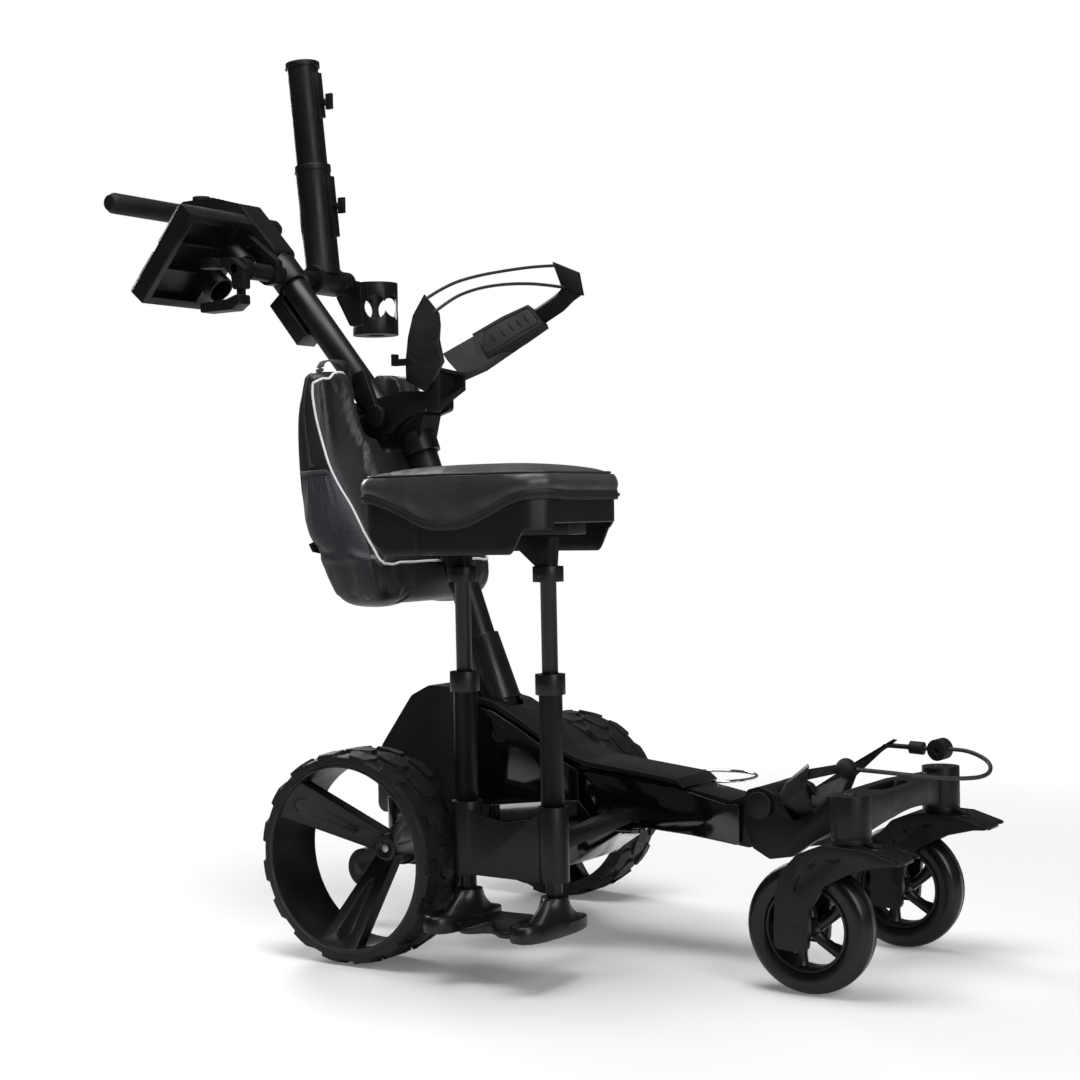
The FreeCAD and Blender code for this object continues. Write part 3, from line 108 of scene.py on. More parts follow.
def finish(name, tones, worn, rough, grain, depth, patch=45, edge=0.8, wear=0.5, weave=0, stretch=(1, 1, 1),
           shader=None):
    """A finish: two tones in soft patches, a fine relief, and edges eased and rubbed to a third tone.

    grain, depth, patch, edge and weave are millimetres; rough is the range of roughness; shader holds
    constants for the surface's own sockets.
    """
    material = bpy.data.materials.new(name)
    material.use_nodes = True
    tree = material.node_tree
    tree.nodes.clear()
    place = add_node(tree, "ShaderNodeTexCoord").outputs["Object"]
    patches = add_node(tree, "ShaderNodeTexNoise", {"Vector": place, "Scale": 1000 / patch, "Detail": 4.0})
    along = add_node(tree, "ShaderNodeMapping", {"Vector": place, "Scale": stretch})
    relief = add_node(tree, "ShaderNodeTexNoise", {"Vector": along.outputs[0], "Scale": 1000 / grain,
                                                   "Detail": 3.0, "Roughness": 0.6}).outputs["Fac"]
    eased = add_node(tree, "ShaderNodeBevel", {"Radius": edge * MM}, samples=4).outputs[0]
    facing = add_node(tree, "ShaderNodeNewGeometry").outputs["Normal"]
    turn = add_node(tree, "ShaderNodeVectorMath", {0: eased, 1: facing}, operation="DOT_PRODUCT")
    rubbed = add_node(tree, "ShaderNodeMapRange", {"Value": turn.outputs["Value"], "From Min": 0.999,
                                                   "From Max": 0.85, "To Min": 0.0, "To Max": wear})
    body = add_node(tree, "ShaderNodeMix", {0: patches.outputs["Fac"], 6: (*linear(tones[0]), 1),
                                            7: (*linear(tones[1]), 1)}, data_type="RGBA")
    colour = add_node(tree, "ShaderNodeMix", {0: rubbed.outputs[0], 6: body.outputs[2],
                                              7: (*linear(worn), 1)}, data_type="RGBA").outputs[2]
    if weave:
        threads = []
        for direction in "XZ":
            wave = add_node(tree, "ShaderNodeTexWave", {"Vector": place, "Scale": 1000 / weave / 10 * math.pi,
                                                        "Distortion": 0.6, "Detail Scale": 3.0},
                            bands_direction=direction)
            threads.append(wave.outputs["Fac"])
        cross = add_node(tree, "ShaderNodeMath", {0: threads[0], 1: threads[1]}, operation="MULTIPLY")
        relief = add_node(tree, "ShaderNodeMath", {0: cross.outputs[0], 1: relief},
                          operation="ADD").outputs[0]
    bump = add_node(tree, "ShaderNodeBump", {"Strength": 1.0, "Distance": depth * MM, "Height": relief,
                                             "Normal": eased}).outputs[0]
    dull = add_node(tree, "ShaderNodeMapRange", {"Value": patches.outputs["Fac"], "From Min": 0.3,
                                                 "From Max": 0.7, "To Min": rough[0], "To Max": rough[1]})
    surface = add_node(tree, "ShaderNodeBsdfPrincipled", {"Base Color": colour, "Roughness": dull.outputs[0],
                                                          "Normal": bump})
    for socket, value in (shader or {}).items():
        surface.inputs[socket].default_value = value
    add_node(tree, "ShaderNodeOutputMaterial", {"Surface": surface.outputs[0]})
    return material


def make_finishes():
    """Every finish on the trolley, by a short name."""
    made = {}
    # Glass-filled nylon from a spark-eroded mould: matt with a fine sand grain. The real grain is
    # 0.2 mm and is drawn at 1.6 mm so that it shows.
    made["nylon"] = finish("moulded glass-filled nylon", ("060708", "0d0e10"), "24272b", (0.34, 0.48), 1.6,
                           0.10, edge=1.0, shader={"Specular IOR Level": 0.28})
    # The same nylon in a smoother mould: satin, with a slow sheen along curved faces.
    made["satin"] = finish("satin moulded ABS", ("0a0b0c", "121315"), "303337", (0.28, 0.40), 2.2, 0.05,
                           edge=1.0, shader={"Specular IOR Level": 0.34})
    # Polished-mould ABS: a dark mirror with faint flow marks.
    made["gloss"] = finish("polished ABS", ("050506", "08090a"), "2a2c30", (0.06, 0.14), 18, 0.06, patch=70,
                           edge=1.2, shader={"Coat Weight": 0.4, "Coat Roughness": 0.05})
    # Powder-coated aluminium tube: low satin with a slight orange peel, drawn at 3 mm.
    made["tube"] = finish("powder-coated aluminium tube", ("08090a", "0e0f11"), "303338", (0.34, 0.44), 3.0,
                          0.05, edge=0.8, shader={"Specular IOR Level": 0.34})
    # Tyre rubber, moulded and unworn: dull with a dusty bloom in the low places.
    made["rubber"] = finish("moulded tyre rubber", ("0d0e10", "17181a"), "303336", (0.50, 0.66), 1.4, 0.10,
                            patch=30, edge=1.0, shader={"Specular IOR Level": 0.3})
    # Polyurethane caster tyre: smooth and slightly wet-looking.
    made["caster"] = finish("cast polyurethane tyre", ("060607", "0b0c0d"), "222427", (0.22, 0.34), 2.5, 0.03,
                            patch=60, edge=0.6, shader={"Specular IOR Level": 0.3, "Coat Weight": 0.05,
                                                               "Coat Roughness": 0.12})
    # Soft thermoplastic rubber: velvety, almost no highlight.
    made["soft"] = finish("soft thermoplastic rubber", ("0a0b0d", "131416"), "282b2e", (0.55, 0.70), 1.2,
                          0.08,
                          edge=0.8, shader={"Specular IOR Level": 0.25})
    # Turned mild steel: bright grey with fine rings across the axle.
    made["steel"] = finish("turned steel", ("8d9093", "a5a8ab"), "d0d2d4", (0.22, 0.36), 0.8, 0.04, patch=12,
                           edge=0.5, stretch=(1, 6, 1), shader={"Metallic": 1.0})
    # Chrome-plated wire: a bright mirror.
    made["chrome"] = finish("chrome-plated wire", ("c9ccd0", "dfe2e5"), "f2f4f5", (0.05, 0.10), 10, 0.01,
                            edge=0.3, shader={"Metallic": 1.0})
    # Coated polyester pack cloth: soft folds and a 1 mm basket weave, drawn at 3 mm.
    made["pack"] = finish("coated polyester pack cloth", ("050607", "0b0c0e"), "1a1d20", (0.38, 0.52), 5,
                          0.12,
                          patch=90, edge=1.5, weave=3.2, shader={"Sheen Weight": 0.05,
                                                                 "Sheen Roughness": 0.5})
    # Knitted pocket net over cloth: a paler blue-grey bloom with an open 2 mm knit, drawn at 3.5 mm.
    made["net"] = finish("knitted polyester net", ("101217", "1e2128"), "30343c", (0.50, 0.65), 3.0, 0.3,
                         patch=24, edge=1.5, weave=3.6, shader={"Sheen Weight": 0.2, "Sheen Roughness": 0.4})
    # White corded piping: soft matt plastic-coated cloth.
    made["piping"] = finish("white vinyl piping", ("c9cbce", "dcdee0"), "eceeef", (0.45, 0.55), 2, 0.05,
                            edge=0.5)
    # PVC leathercloth: supple grey-black with a soft shine and a fine pebble, drawn at 2.2 mm.
    made["vinyl"] = finish("PVC leathercloth", ("1a1d1f", "25282b"), "3c4145", (0.30, 0.42), 2.2, 0.12,
                           patch=55, edge=1.5, shader={"Sheen Weight": 0.1, "Sheen Roughness": 0.5})
    # Woven zip tape: dull black with close ribs, drawn at 2.5 mm.
    made["tape"] = finish("woven polyester zip tape", ("0c0c0e", "141517"), "26282b", (0.60, 0.75), 1.5, 0.15,
                          edge=0.8, weave=2.4)
    # Braided elastic cord: a dull textile surface with a 3 mm plait.
    made["elastic"] = finish("braided elastic cord", ("0f1012", "1d1f22"), "303338", (0.50, 0.65), 1.6, 0.25,
                             patch=6, edge=0.5, weave=3.0)
    # Polyester webbing and hook-and-loop tape: fuzzy and very dull.
    made["webbing"] = finish("polyester webbing", ("121315", "1b1d1f"), "2c2f32", (0.70, 0.85), 1.2, 0.3,
                             patch=10, edge=0.8, weave=2.6, shader={"Sheen Weight": 0.3})
    # Clear polycarbonate sheet: water-clear with bright cut edges.
    made["clear"] = finish("clear polycarbonate sheet", ("dfe3e6", "e9ecee"), "ffffff", (0.03, 0.06), 25,
                           0.01,
                           edge=0.5, shader={"Transmission Weight": 0.9, "IOR": 1.58})
    # Grey case of the lithium battery: plain moulded ABS.
    made["case"] = finish("battery case ABS", ("2b2d31", "35383d"), "565a60", (0.40, 0.50), 2.0, 0.06)
    return made


# ==== mesh helpers =============================================================================
def place_object(name, data):
    """Links new data as an object of its own."""
    obj = bpy.data.objects.new(name, data)
    bpy.context.scene.collection.objects.link(obj)
    return obj


def close_mesh(name, bm, sharp=SHARP):
    """Merges a built mesh, turns its faces outwards, and shades it with edges sharper than the angle kept."""
    bmesh.ops.remove_doubles(bm, verts=bm.verts, dist=1e-6)
    bmesh.ops.recalc_face_normals(bm, faces=bm.faces)
    mesh = bpy.data.meshes.new(name)
    bm.to_mesh(mesh)
    bm.free()
    mesh.shade_smooth()
    mesh.set_sharp_from_angle(angle=math.radians(sharp))
    return place_object(name, mesh)


def baked(obj, sharp=None):
    """Applies every modifier on an object."""
    graph = bpy.context.evaluated_depsgraph_get()
    mesh = bpy.data.meshes.new_from_object(obj.evaluated_get(graph))
    obj.modifiers.clear()
    obj.data = mesh
    if sharp is not None:
        mesh.shade_smooth()
        mesh.set_sharp_from_angle(angle=math.radians(sharp))
    return obj


def eased(obj, width=0.6, segments=2, angle=EASED_FROM, sharp=SHARP):
    """Rounds an object's sharp edges by a width in millimetres."""
    bevel = obj.modifiers.new("eased edges", "BEVEL")
    bevel.width = width * MM
    bevel.segments = segments
    bevel.angle_limit = math.radians(angle)
    return baked(obj, sharp)


def merged(name, parts):
    """One object out of several, each already in place."""
    bm = bmesh.new()
    for part in parts:
        bm.from_mesh(part.data)
        bpy.data.objects.remove(part)
    mesh = bpy.data.meshes.new(name)
    bm.to_mesh(mesh)
    bm.free()
    mesh.shade_smooth()
    mesh.set_sharp_from_angle(angle=math.radians(SHARP))
    return place_object(name, mesh)


def cut(obj, cutter, keep="DIFFERENCE"):
    """Takes a cutter's shape out of an object, or keeps only what the two share."""
    change = obj.modifiers.new("cut", "BOOLEAN")
    change.operation = keep
    change.object = cutter
    change.solver = "EXACT"
    baked(obj)
    bpy.data.objects.remove(cutter)
    return obj


def shifted(spot):
    """The matrix that moves by a vector in millimetres."""
    return Matrix.Translation(V(spot) * MM)


def rotated(degrees, axis):
    """The matrix that turns about an axis through the origin."""
    return Matrix.Rotation(math.radians(degrees), 4, axis)


def box(name, size, move):
    """A box of a size in millimetres, carried to its place by a matrix."""
    bm = bmesh.new()
    bmesh.ops.create_cube(bm, size=1)
    bmesh.ops.scale(bm, vec=V(size) * MM, verts=bm.verts)
    bmesh.ops.transform(bm, matrix=move, verts=bm.verts)
    return close_mesh(name, bm)


def evened(obj, size):
    """Rebuilds an object with even faces of about a size in metres."""
    change = obj.modifiers.new("even faces", "REMESH")
    change.mode = "VOXEL"
    change.voxel_size = size
    return baked(obj)


def finer(obj, levels, sharp=None):
    """Divides an object's faces smoothly."""
    change = obj.modifiers.new("finer", "SUBSURF")
    change.levels = change.render_levels = levels
    return baked(obj, sharp)


def slackened(obj, held, frames, most, gravity, **settings):
    """Lets an object settle as blown-up cloth where it is not held, and nowhere further than most."""
    start = [v.co.copy() for v in obj.data.vertices]
    group = obj.vertex_groups.new(name="held")
    group.add([v.index for v in obj.data.vertices if held(v.co)], 1.0, "REPLACE")
    cloth = obj.modifiers.new("cloth", "CLOTH").settings
    cloth.use_pressure = True
    cloth.vertex_group_mass = "held"
    cloth.effector_weights.gravity = gravity
    for key, value in settings.items():
        setattr(cloth, key, value)
    scene = bpy.context.scene
    for step in range(1, frames + 1):
        scene.frame_set(step)
    graph = bpy.context.evaluated_depsgraph_get()
    moved = [v.co.copy() for v in obj.evaluated_get(graph).data.vertices]
    obj.modifiers.clear()
    obj.vertex_groups.clear()
    scene.frame_set(1)
    for v, first, after in zip(obj.data.vertices, start, moved):
        shift = after - first
        v.co = first + shift * min(1.0, most / max(shift.length, 1e-9))
    return obj


def copy_of(node, name):
    """A CAD node's shape as a new closed mesh."""
    bm = bmesh.new()
    bm.from_mesh(frame["nodes"][node].data)
    bmesh.ops.remove_doubles(bm, verts=bm.verts, dist=WELD_WITHIN)
    bmesh.ops.dissolve_limit(bm, angle_limit=math.radians(FLAT_WITHIN), verts=bm.verts, edges=bm.edges)
    mesh = bpy.data.meshes.new(name)
    bm.to_mesh(mesh)
    bm.free()
    return place_object(name, mesh)


def lathe(name, profile, centre, axis="Y", steps=96, sharp=SHARP):
    """A closed (radius, along) profile in millimetres turned about an axis through a point."""
    bm = bmesh.new()
    rings = []
    for i in range(steps):
        turn = math.tau * i / steps
        c, s = math.cos(turn), math.sin(turn)
        ring = []
        for r, a in profile:
            spot = {"Y": (r * c, a, r * s), "Z": (r * c, r * s, a), "X": (a, r * c, r * s)}[axis]
            ring.append(bm.verts.new((V(spot) + V(centre)) * MM))
        rings.append(ring)
    count = len(profile)
    for i in range(steps):
        near, far = rings[i], rings[(i + 1) % steps]
        for j in range(count):
            k = (j + 1) % count
            if profile[j][0] == 0 and profile[k][0] == 0:
                continue
            bm.faces.new((near[j], near[k], far[k], far[j]))
    bmesh.ops.dissolve_degenerate(bm, edges=bm.edges, dist=1e-7)
    return close_mesh(name, bm, sharp)


def rounded(points, corner, steps=4):
    """A 2-D outline in millimetres with each corner turned through an arc."""
    out = []
    count = len(points)
    for i in range(count):
        here = V(points[i])
        back = V(points[i - 1]) - here
        ahead = V(points[(i + 1) % count]) - here
        half = back.angle(ahead) / 2
        reach = min(corner / math.tan(half), 0.45 * back.length, 0.45 * ahead.length)
        radius = reach * math.tan(half)
        start = here + back.normalized() * reach
        end = here + ahead.normalized() * reach
        middle = here + (back.normalized() + ahead.normalized()).normalized() * (radius / math.sin(half))
        first = start - middle
        swing = first.angle_signed(end - middle)
        for k in range(steps + 1):
            turn = -swing * k / steps
            c, s = math.cos(turn), math.sin(turn)
            out.append((middle.x + first.x * c - first.y * s, middle.y + first.x * s + first.y * c))
    return out


def loft(name, sections, closed=False, sharp=SHARP, caps=True):
    """A skin through rings of points in metres; closed joins the last ring to the first."""
    bm = bmesh.new()
    rings = [[bm.verts.new(p) for p in section] for section in sections]
    pairs = list(zip(rings, rings[1:]))
    if closed:
        pairs.append((rings[-1], rings[0]))
    elif caps:
        bm.faces.new(rings[0])
        bm.faces.new(list(reversed(rings[-1])))
    for near, far in pairs:
        for j in range(len(near)):
            k = (j + 1) % len(near)
            bm.faces.new((near[j], near[k], far[k], far[j]))
    return close_mesh(name, bm, sharp)


def plate(name, points, low, high, plane="XZ", corner=4, edge=0.8, steps=4):
    """An outline in millimetres given thickness, with its edges eased; plane says which way it lies."""
    ring = rounded(points, corner, steps) if corner else points
    sections = []
    for depth in (low, high):
        spots = {"XZ": [(a, depth, b) for a, b in ring], "XY": [(a, b, depth) for a, b in ring],
                 "YZ": [(depth, a, b) for a, b in ring]}[plane]
        sections.append([V(p) * MM for p in spots])
    made = loft(name, sections)
    return eased(made, edge) if edge else made


def sweep(name, points, radius, closed=False, around=10, flat=1.0, up=(0, 0, 1)):
    """A tube in millimetres along points; flat squeezes its section across the up direction."""
    path = [V(p) for p in points]
    count = len(path)
    sections = []
    for i in range(count):
        ahead = path[(i + 1) % count] if closed or i < count - 1 else path[i]
        back = path[i - 1] if closed or i > 0 else path[i]
        along = (ahead - back).normalized()
        side = along.cross(V(up)).normalized()
        rise = side.cross(along)
        wide = radius[i] if isinstance(radius, (list, tuple)) else radius
        sections.append([(path[i] + side * wide * math.cos(math.tau * k / around)
                          + rise * wide * flat * math.sin(math.tau * k / around)) * MM for k in range(around)])
    return loft(name, sections, closed)


def smooth_path(points, closed=False, steps=6):
    """A Catmull-Rom line through points in millimetres."""
    path = [V(p) for p in points]
    count = len(path)
    out = []
    for i in range(count if closed else count - 1):
        if closed:
            a, b, c, d = path[i - 1], path[i], path[(i + 1) % count], path[(i + 2) % count]
        else:
            a, b, c, d = path[max(i - 1, 0)], path[i], path[i + 1], path[min(i + 2, count - 1)]
        for k in range(steps):
            t = k / steps
            out.append(0.5 * (2 * b + (c - a) * t + (2 * a - 5 * b + 4 * c - d) * t * t
                              + (3 * b - a - 3 * c + d) * t ** 3))
    if not closed:
        out.append(path[-1])
    return out


# ==== repeating node trees =====================================================================
def new_tree(name, sockets):
    """An empty geometry tree with named inputs and a geometry output; gives the tree and its input node."""
    tree = bpy.data.node_groups.new(name, "GeometryNodeTree")
    tree.is_modifier = True
    tree.interface.new_socket(name="Geometry", in_out="INPUT", socket_type="NodeSocketGeometry")
    for label, kind in sockets:
        tree.interface.new_socket(name=label, in_out="INPUT", socket_type="NodeSocket" + kind)
    tree.interface.new_socket(name="Geometry", in_out="OUTPUT", socket_type="NodeSocketGeometry")
    return tree, add_node(tree, "NodeGroupInput").outputs


def end_tree(tree, geometry, finish_socket):
    """Closes a geometry tree with real geometry and its finish."""
    real = add_node(tree, "GeometryNodeRealizeInstances", {"Geometry": geometry})
    done = add_node(tree, "GeometryNodeSetMaterial", {"Geometry": real.outputs[0], "Material": finish_socket})
    add_node(tree, "NodeGroupOutput", {"Geometry": done.outputs[0]})
    return tree


def ring_tree():
    """Repeats a shape, built about the Y axis, round an axle."""
    tree, given = new_tree("repeat round axle", (("Count", "Int"), ("Start", "Float"), ("Centre", "Vector"),
                                                 ("Finish", "Material")))
    points = add_node(tree, "GeometryNodePoints", {"Count": given["Count"]})
    index = add_node(tree, "GeometryNodeInputIndex")
    step = add_node(tree, "ShaderNodeMath", {0: math.tau, 1: given["Count"]}, operation="DIVIDE")
    turn = add_node(tree, "ShaderNodeMath", {0: index.outputs[0], 1: step.outputs[0], 2: given["Start"]},
                    operation="MULTIPLY_ADD")
    swing = add_node(tree, "ShaderNodeCombineXYZ", {"Y": turn.outputs[0]})
    copies = add_node(tree, "GeometryNodeInstanceOnPoints", {"Points": points.outputs[0],
                                                             "Instance": given["Geometry"],
                                                             "Rotation": swing.outputs[0]})
    placed = add_node(tree, "GeometryNodeTransform", {"Geometry": copies.outputs[0],
                                                      "Translation": given["Centre"]})
    return end_tree(tree, placed.outputs[0], given["Finish"])


def path_tree():
    """Repeats a shape, built along the X axis, at even spacing along a path."""
    tree, given = new_tree("repeat along path", (("Path", "Object"), ("Spacing", "Float"),
                                                 ("Finish", "Material")))
    path = add_node(tree, "GeometryNodeObjectInfo", {"Object": given["Path"]}, transform_space="RELATIVE")
    spaced = add_node(tree, "GeometryNodeResampleCurve", {"Curve": path.outputs["Geometry"],
                                                          "Length": given["Spacing"]}, mode="LENGTH")
    ahead = add_node(tree, "GeometryNodeInputTangent")
    up = add_node(tree, "GeometryNodeInputNormal")
    turned = add_node(tree, "FunctionNodeAxesToRotation", {0: ahead.outputs[0], 1: up.outputs[0]},
                      primary_axis="X", secondary_axis="Z")
    copies = add_node(tree, "GeometryNodeInstanceOnPoints", {"Points": spaced.outputs[0],
                                                             "Instance": given["Geometry"],
                                                             "Rotation": turned.outputs[0]})
    return end_tree(tree, copies.outputs[0], given["Finish"])


def repeated(obj, tree, **inputs):
    """Runs a repeating tree on an object and keeps the result as its plain mesh."""
    change = obj.modifiers.new("repeat", "NODES")
    change.node_group = tree
    for item in tree.interface.items_tree:
        if item.in_out == "INPUT" and item.name in inputs:
            change[item.identifier] = inputs[item.name]
    return baked(obj)


# ==== dressing =================================================================================
def dress(obj, finish_name, body, stands_for=()):
    """Gives a finished piece its surface and its body, and hides the CAD nodes that it stands for."""
    obj.data.materials.clear()
    obj.data.materials.append(finishes[finish_name])
    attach(obj, body)
    if stands_for:
        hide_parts(*stands_for)
    return obj


def smoothing_tree():
    """Welds a CAD node's loose triangles and drops its stored normals."""
    tree, given = new_tree("weld", ())
    plain = add_node(tree, "GeometryNodeRemoveAttribute", {"Geometry": given["Geometry"],
                                                           "Name": "custom_normal"})
    weld = add_node(tree, "GeometryNodeMergeByDistance", {"Geometry": plain.outputs[0],
                                                          "Distance": WELD_WITHIN})
    add_node(tree, "NodeGroupOutput", {"Geometry": weld.outputs[0]})
    return tree


def shading_tree():
    """Smooth shading with the sharp edges kept."""
    tree, given = new_tree("smooth by angle", ())
    flat = add_node(tree, "GeometryNodeSetShadeSmooth", {"Geometry": given["Geometry"]})
    angle = add_node(tree, "GeometryNodeInputMeshEdgeAngle")
    steep = add_node(tree, "FunctionNodeCompare", {0: angle.outputs["Unsigned Angle"],
                                                   1: math.radians(SHARP)},
                     operation="GREATER_THAN")
    kept = add_node(tree, "GeometryNodeSetShadeSmooth", {"Geometry": flat.outputs[0],
                                                         "Selection": steep.outputs[0],
                                                         "Shade Smooth": False}, domain="EDGE")
    add_node(tree, "NodeGroupOutput", {"Geometry": kept.outputs[0]})
    return tree


def dress_node(node, finish_name, edge):
    """Gives a CAD node a surface, and rounds its edges by a width in millimetres with live modifiers."""
    obj = frame["nodes"][node]
    for slot in obj.material_slots:
        slot.material = finishes[finish_name]
    if edge:
        obj.modifiers.new("weld", "NODES").node_group = trees["weld"]
        flatten = obj.modifiers.new("flat faces", "DECIMATE")
        flatten.decimate_type = "DISSOLVE"
        flatten.angle_limit = math.radians(FLAT_WITHIN)
        bevel = obj.modifiers.new("eased edges", "BEVEL")
        bevel.width = edge * MM
        bevel.segments = 2
        bevel.angle_limit = math.radians(EASED_FROM)
        obj.modifiers.new("shading", "NODES").node_group = trees["smooth"]


finishes = {}
trees = {}


# ==== settings =================================================================================
class TrolleySettings(bpy.types.PropertyGroup):
    """Sizes that a user would change."""
    lug_count: bpy.props.IntProperty(name="Tread lugs", description="Lugs in each row round a rear tyre",
                                     default=16, min=8, max=40)
    lug_height: bpy.props.FloatProperty(name="Lug height", description="How far a lug stands off the tyre",
                                        default=0.0055, unit="LENGTH", subtype="DISTANCE")
    piping: bpy.props.FloatProperty(name="Piping", description="Diameter of the bag's white piping",
                                    default=0.004, unit="LENGTH", subtype="DISTANCE")
    cushion_fill: bpy.props.FloatProperty(name="Cushion fill", description="How tightly the seat is stuffed",
                                          default=0.6, min=0, max=1, subtype="FACTOR")


class TROLLEY_OT_stage(bpy.types.Operator):
    """Makes the finishes, the pale floor, the soft studio light and the camera"""
    bl_idname = "trolley.stage"
    bl_label = "Stage and finishes"

    def execute(self, context):
        """Builds the studio."""
        finishes.update(make_finishes())
        trees.update(weld=smoothing_tree(), smooth=shading_tree(), ring=ring_tree(), path=path_tree())
        scene = context.scene
        scene.view_settings.view_transform = "Standard"
        make_camera(scene)
        make_floor()
        make_lights(scene)
        return {"FINISHED"}


def make_camera(scene):
    """A long lens at handle height, off the right front corner."""
    yaw, pitch, roll = 2.145, math.radians(-0.759), math.radians(-1.174)
    look = V((math.cos(yaw) * math.cos(pitch), math.sin(yaw) * math.cos(pitch), math.sin(pitch)))
    right = look.cross(V((0, 0, 1))).normalized()
    up = right.cross(look)
    right, up = (right * math.cos(roll) + up * math.sin(roll), up * math.cos(roll) - right * math.sin(roll))
    turn = Matrix((right, up, -look)).transposed().to_4x4()
    data = bpy.data.cameras.new("camera")
    data.lens = 65.5
    data.sensor_width = 36
    data.clip_end = 60
    camera = place_object("camera", data)
    camera.matrix_world = Matrix.Translation((1.750, -2.4977, 0.6344)) @ turn
    scene.camera = camera


def make_floor():
    """Pale floor that fades into the white surround and keeps the trolley's soft shadow."""
    bm = bmesh.new()
    bmesh.ops.create_grid(bm, x_segments=1, y_segments=1, size=9)
    floor = close_mesh("floor", bm)
    floor.data.transform(Matrix.Translation((0.1, 0, -0.0006)))
    material = bpy.data.materials.new("pale studio floor")
    material.use_nodes = True
    tree = material.node_tree
    tree.nodes.clear()
    place = add_node(tree, "ShaderNodeTexCoord").outputs["Object"]
    reach = add_node(tree, "ShaderNodeVectorMath", {0: place}, operation="LENGTH")
    fade = add_node(tree, "ShaderNodeMapRange", {"Value": reach.outputs["Value"], "From Min": 0.6,
                                                 "From Max": 1.9, "To Min": 0.12, "To Max": 1.0})
    ray = add_node(tree, "ShaderNodeLightPath")
    seen = add_node(tree, "ShaderNodeMath", {0: ray.outputs["Is Camera Ray"], 1: fade.outputs[0]},
                    operation="MULTIPLY")
    paint = add_node(tree, "ShaderNodeBsdfPrincipled", {"Base Color": (*linear("f2f2f3"), 1),
                                                        "Roughness": 0.6})
    through = add_node(tree, "ShaderNodeBsdfTransparent")
    mix = add_node(tree, "ShaderNodeMixShader", {0: seen.outputs[0], 1: paint.outputs[0],
                                                 2: through.outputs[0]})
    add_node(tree, "ShaderNodeOutputMaterial", {"Surface": mix.outputs[0]})
    floor.data.materials.append(material)


def make_lights(scene):
    """A white surround, a broad lamp overhead and two softer ones at the sides."""
    world = bpy.data.worlds.new("white surround")
    scene.world = world
    world.use_nodes = True
    tree = world.node_tree
    tree.nodes.clear()
    ray = add_node(tree, "ShaderNodeLightPath")
    shown = add_node(tree, "ShaderNodeMath", {0: ray.outputs["Is Camera Ray"],
                                              1: ray.outputs["Is Transmission Ray"]}, operation="MAXIMUM")
    strength = add_node(tree, "ShaderNodeMapRange", {"Value": shown.outputs[0], "To Min": 0.10,
                                                     "To Max": 1.0})
    glow = add_node(tree, "ShaderNodeBackground", {"Color": (1, 1, 1, 1), "Strength": strength.outputs[0]})
    add_node(tree, "ShaderNodeOutputWorld", {"Surface": glow.outputs[0]})
    lamps = (("overhead", (0.3, -0.6, 3.2), (0.1, 0, 0.5), 2.4, 1.6, 92),
             ("front right", (3.0, -1.6, 1.8), (0.1, 0, 0.5), 1.2, 2.0, 50),
             ("rear", (-2.4, 1.4, 2.0), (0.0, 0, 0.7), 1.4, 1.6, 60))
    for name, spot, aim, wide, tall, power in lamps:
        data = bpy.data.lights.new(name, "AREA")
        data.shape = "RECTANGLE"
        data.size = wide
        data.size_y = tall
        data.energy = power
        lamp = place_object(name, data)
        lamp.location = spot
        lamp.rotation_euler = (V(aim) - V(spot)).to_track_quat("-Z", "Y").to_euler()


# ==== cords ====================================================================================
UPPER_STRAND = ((16, -118, 959), (27, -80, 982), (42, -22, 1000), (60, 40, 1013), (76, 98, 1023),
                (90, 131, 1026))
LOWER_STRAND = ((30, -117, 938), (42, -88, 960), (52, -50, 975), (64, -8, 985), (77, 40, 991),
                (91, 90, 993), (106, 131, 990))
FRONT_BUNGEE = ((678, -76, 285), (706, -62, 282), (748, -34, 275), (790, 8, 268), (815, 50, 268),
                (806, 88, 281), (772, 102, 294), (738, 102, 296), (702, 98, 295))


def cord_curve(name, points, diameter):
    """A cord as one smooth spline through its route's control points, in millimetres."""
    data = bpy.data.curves.new(name, "CURVE")
    data.dimensions = "3D"
    data.bevel_depth = diameter / 2 * MM
    data.bevel_resolution = 3
    data.resolution_u = 10
    data.use_fill_caps = True
    spline = data.splines.new("NURBS")
    spline.points.add(len(points) - 1)
    for spot, point in zip(spline.points, points):
        spot.co = (*(V(point) * MM), 1)
    spline.order_u = 3
    spline.use_endpoint_u = True
    return place_object(name, data)


class TROLLEY_OT_cords(bpy.types.Operator):
    """Makes the two elastic strands that hold the golf bag and the elastic cord at the front"""
    bl_idname = "trolley.cords"
    bl_label = "Elastic cords"

    def execute(self, context):
        """Lays the three cords."""
        upper = dress(cord_curve("upper_strand", UPPER_STRAND, 5), "elastic", "chassis",
                      ("cradle_cord",))
        lower = dress(cord_curve("lower_strand", LOWER_STRAND, 5), "elastic", "chassis")
        front = dress(cord_curve("front_bungee", FRONT_BUNGEE, 6), "elastic", "front_frame",
                      ("lower_bungee",))
        for piece, points, length, diameter in ((upper, UPPER_STRAND, 0.271, 0.005),
                                                (lower, LOWER_STRAND, 0.271, 0.005),
                                                (front, FRONT_BUNGEE, 0.336, 0.006)):
            tuple(V(points[0]) * MM)
        return {"FINISHED"}


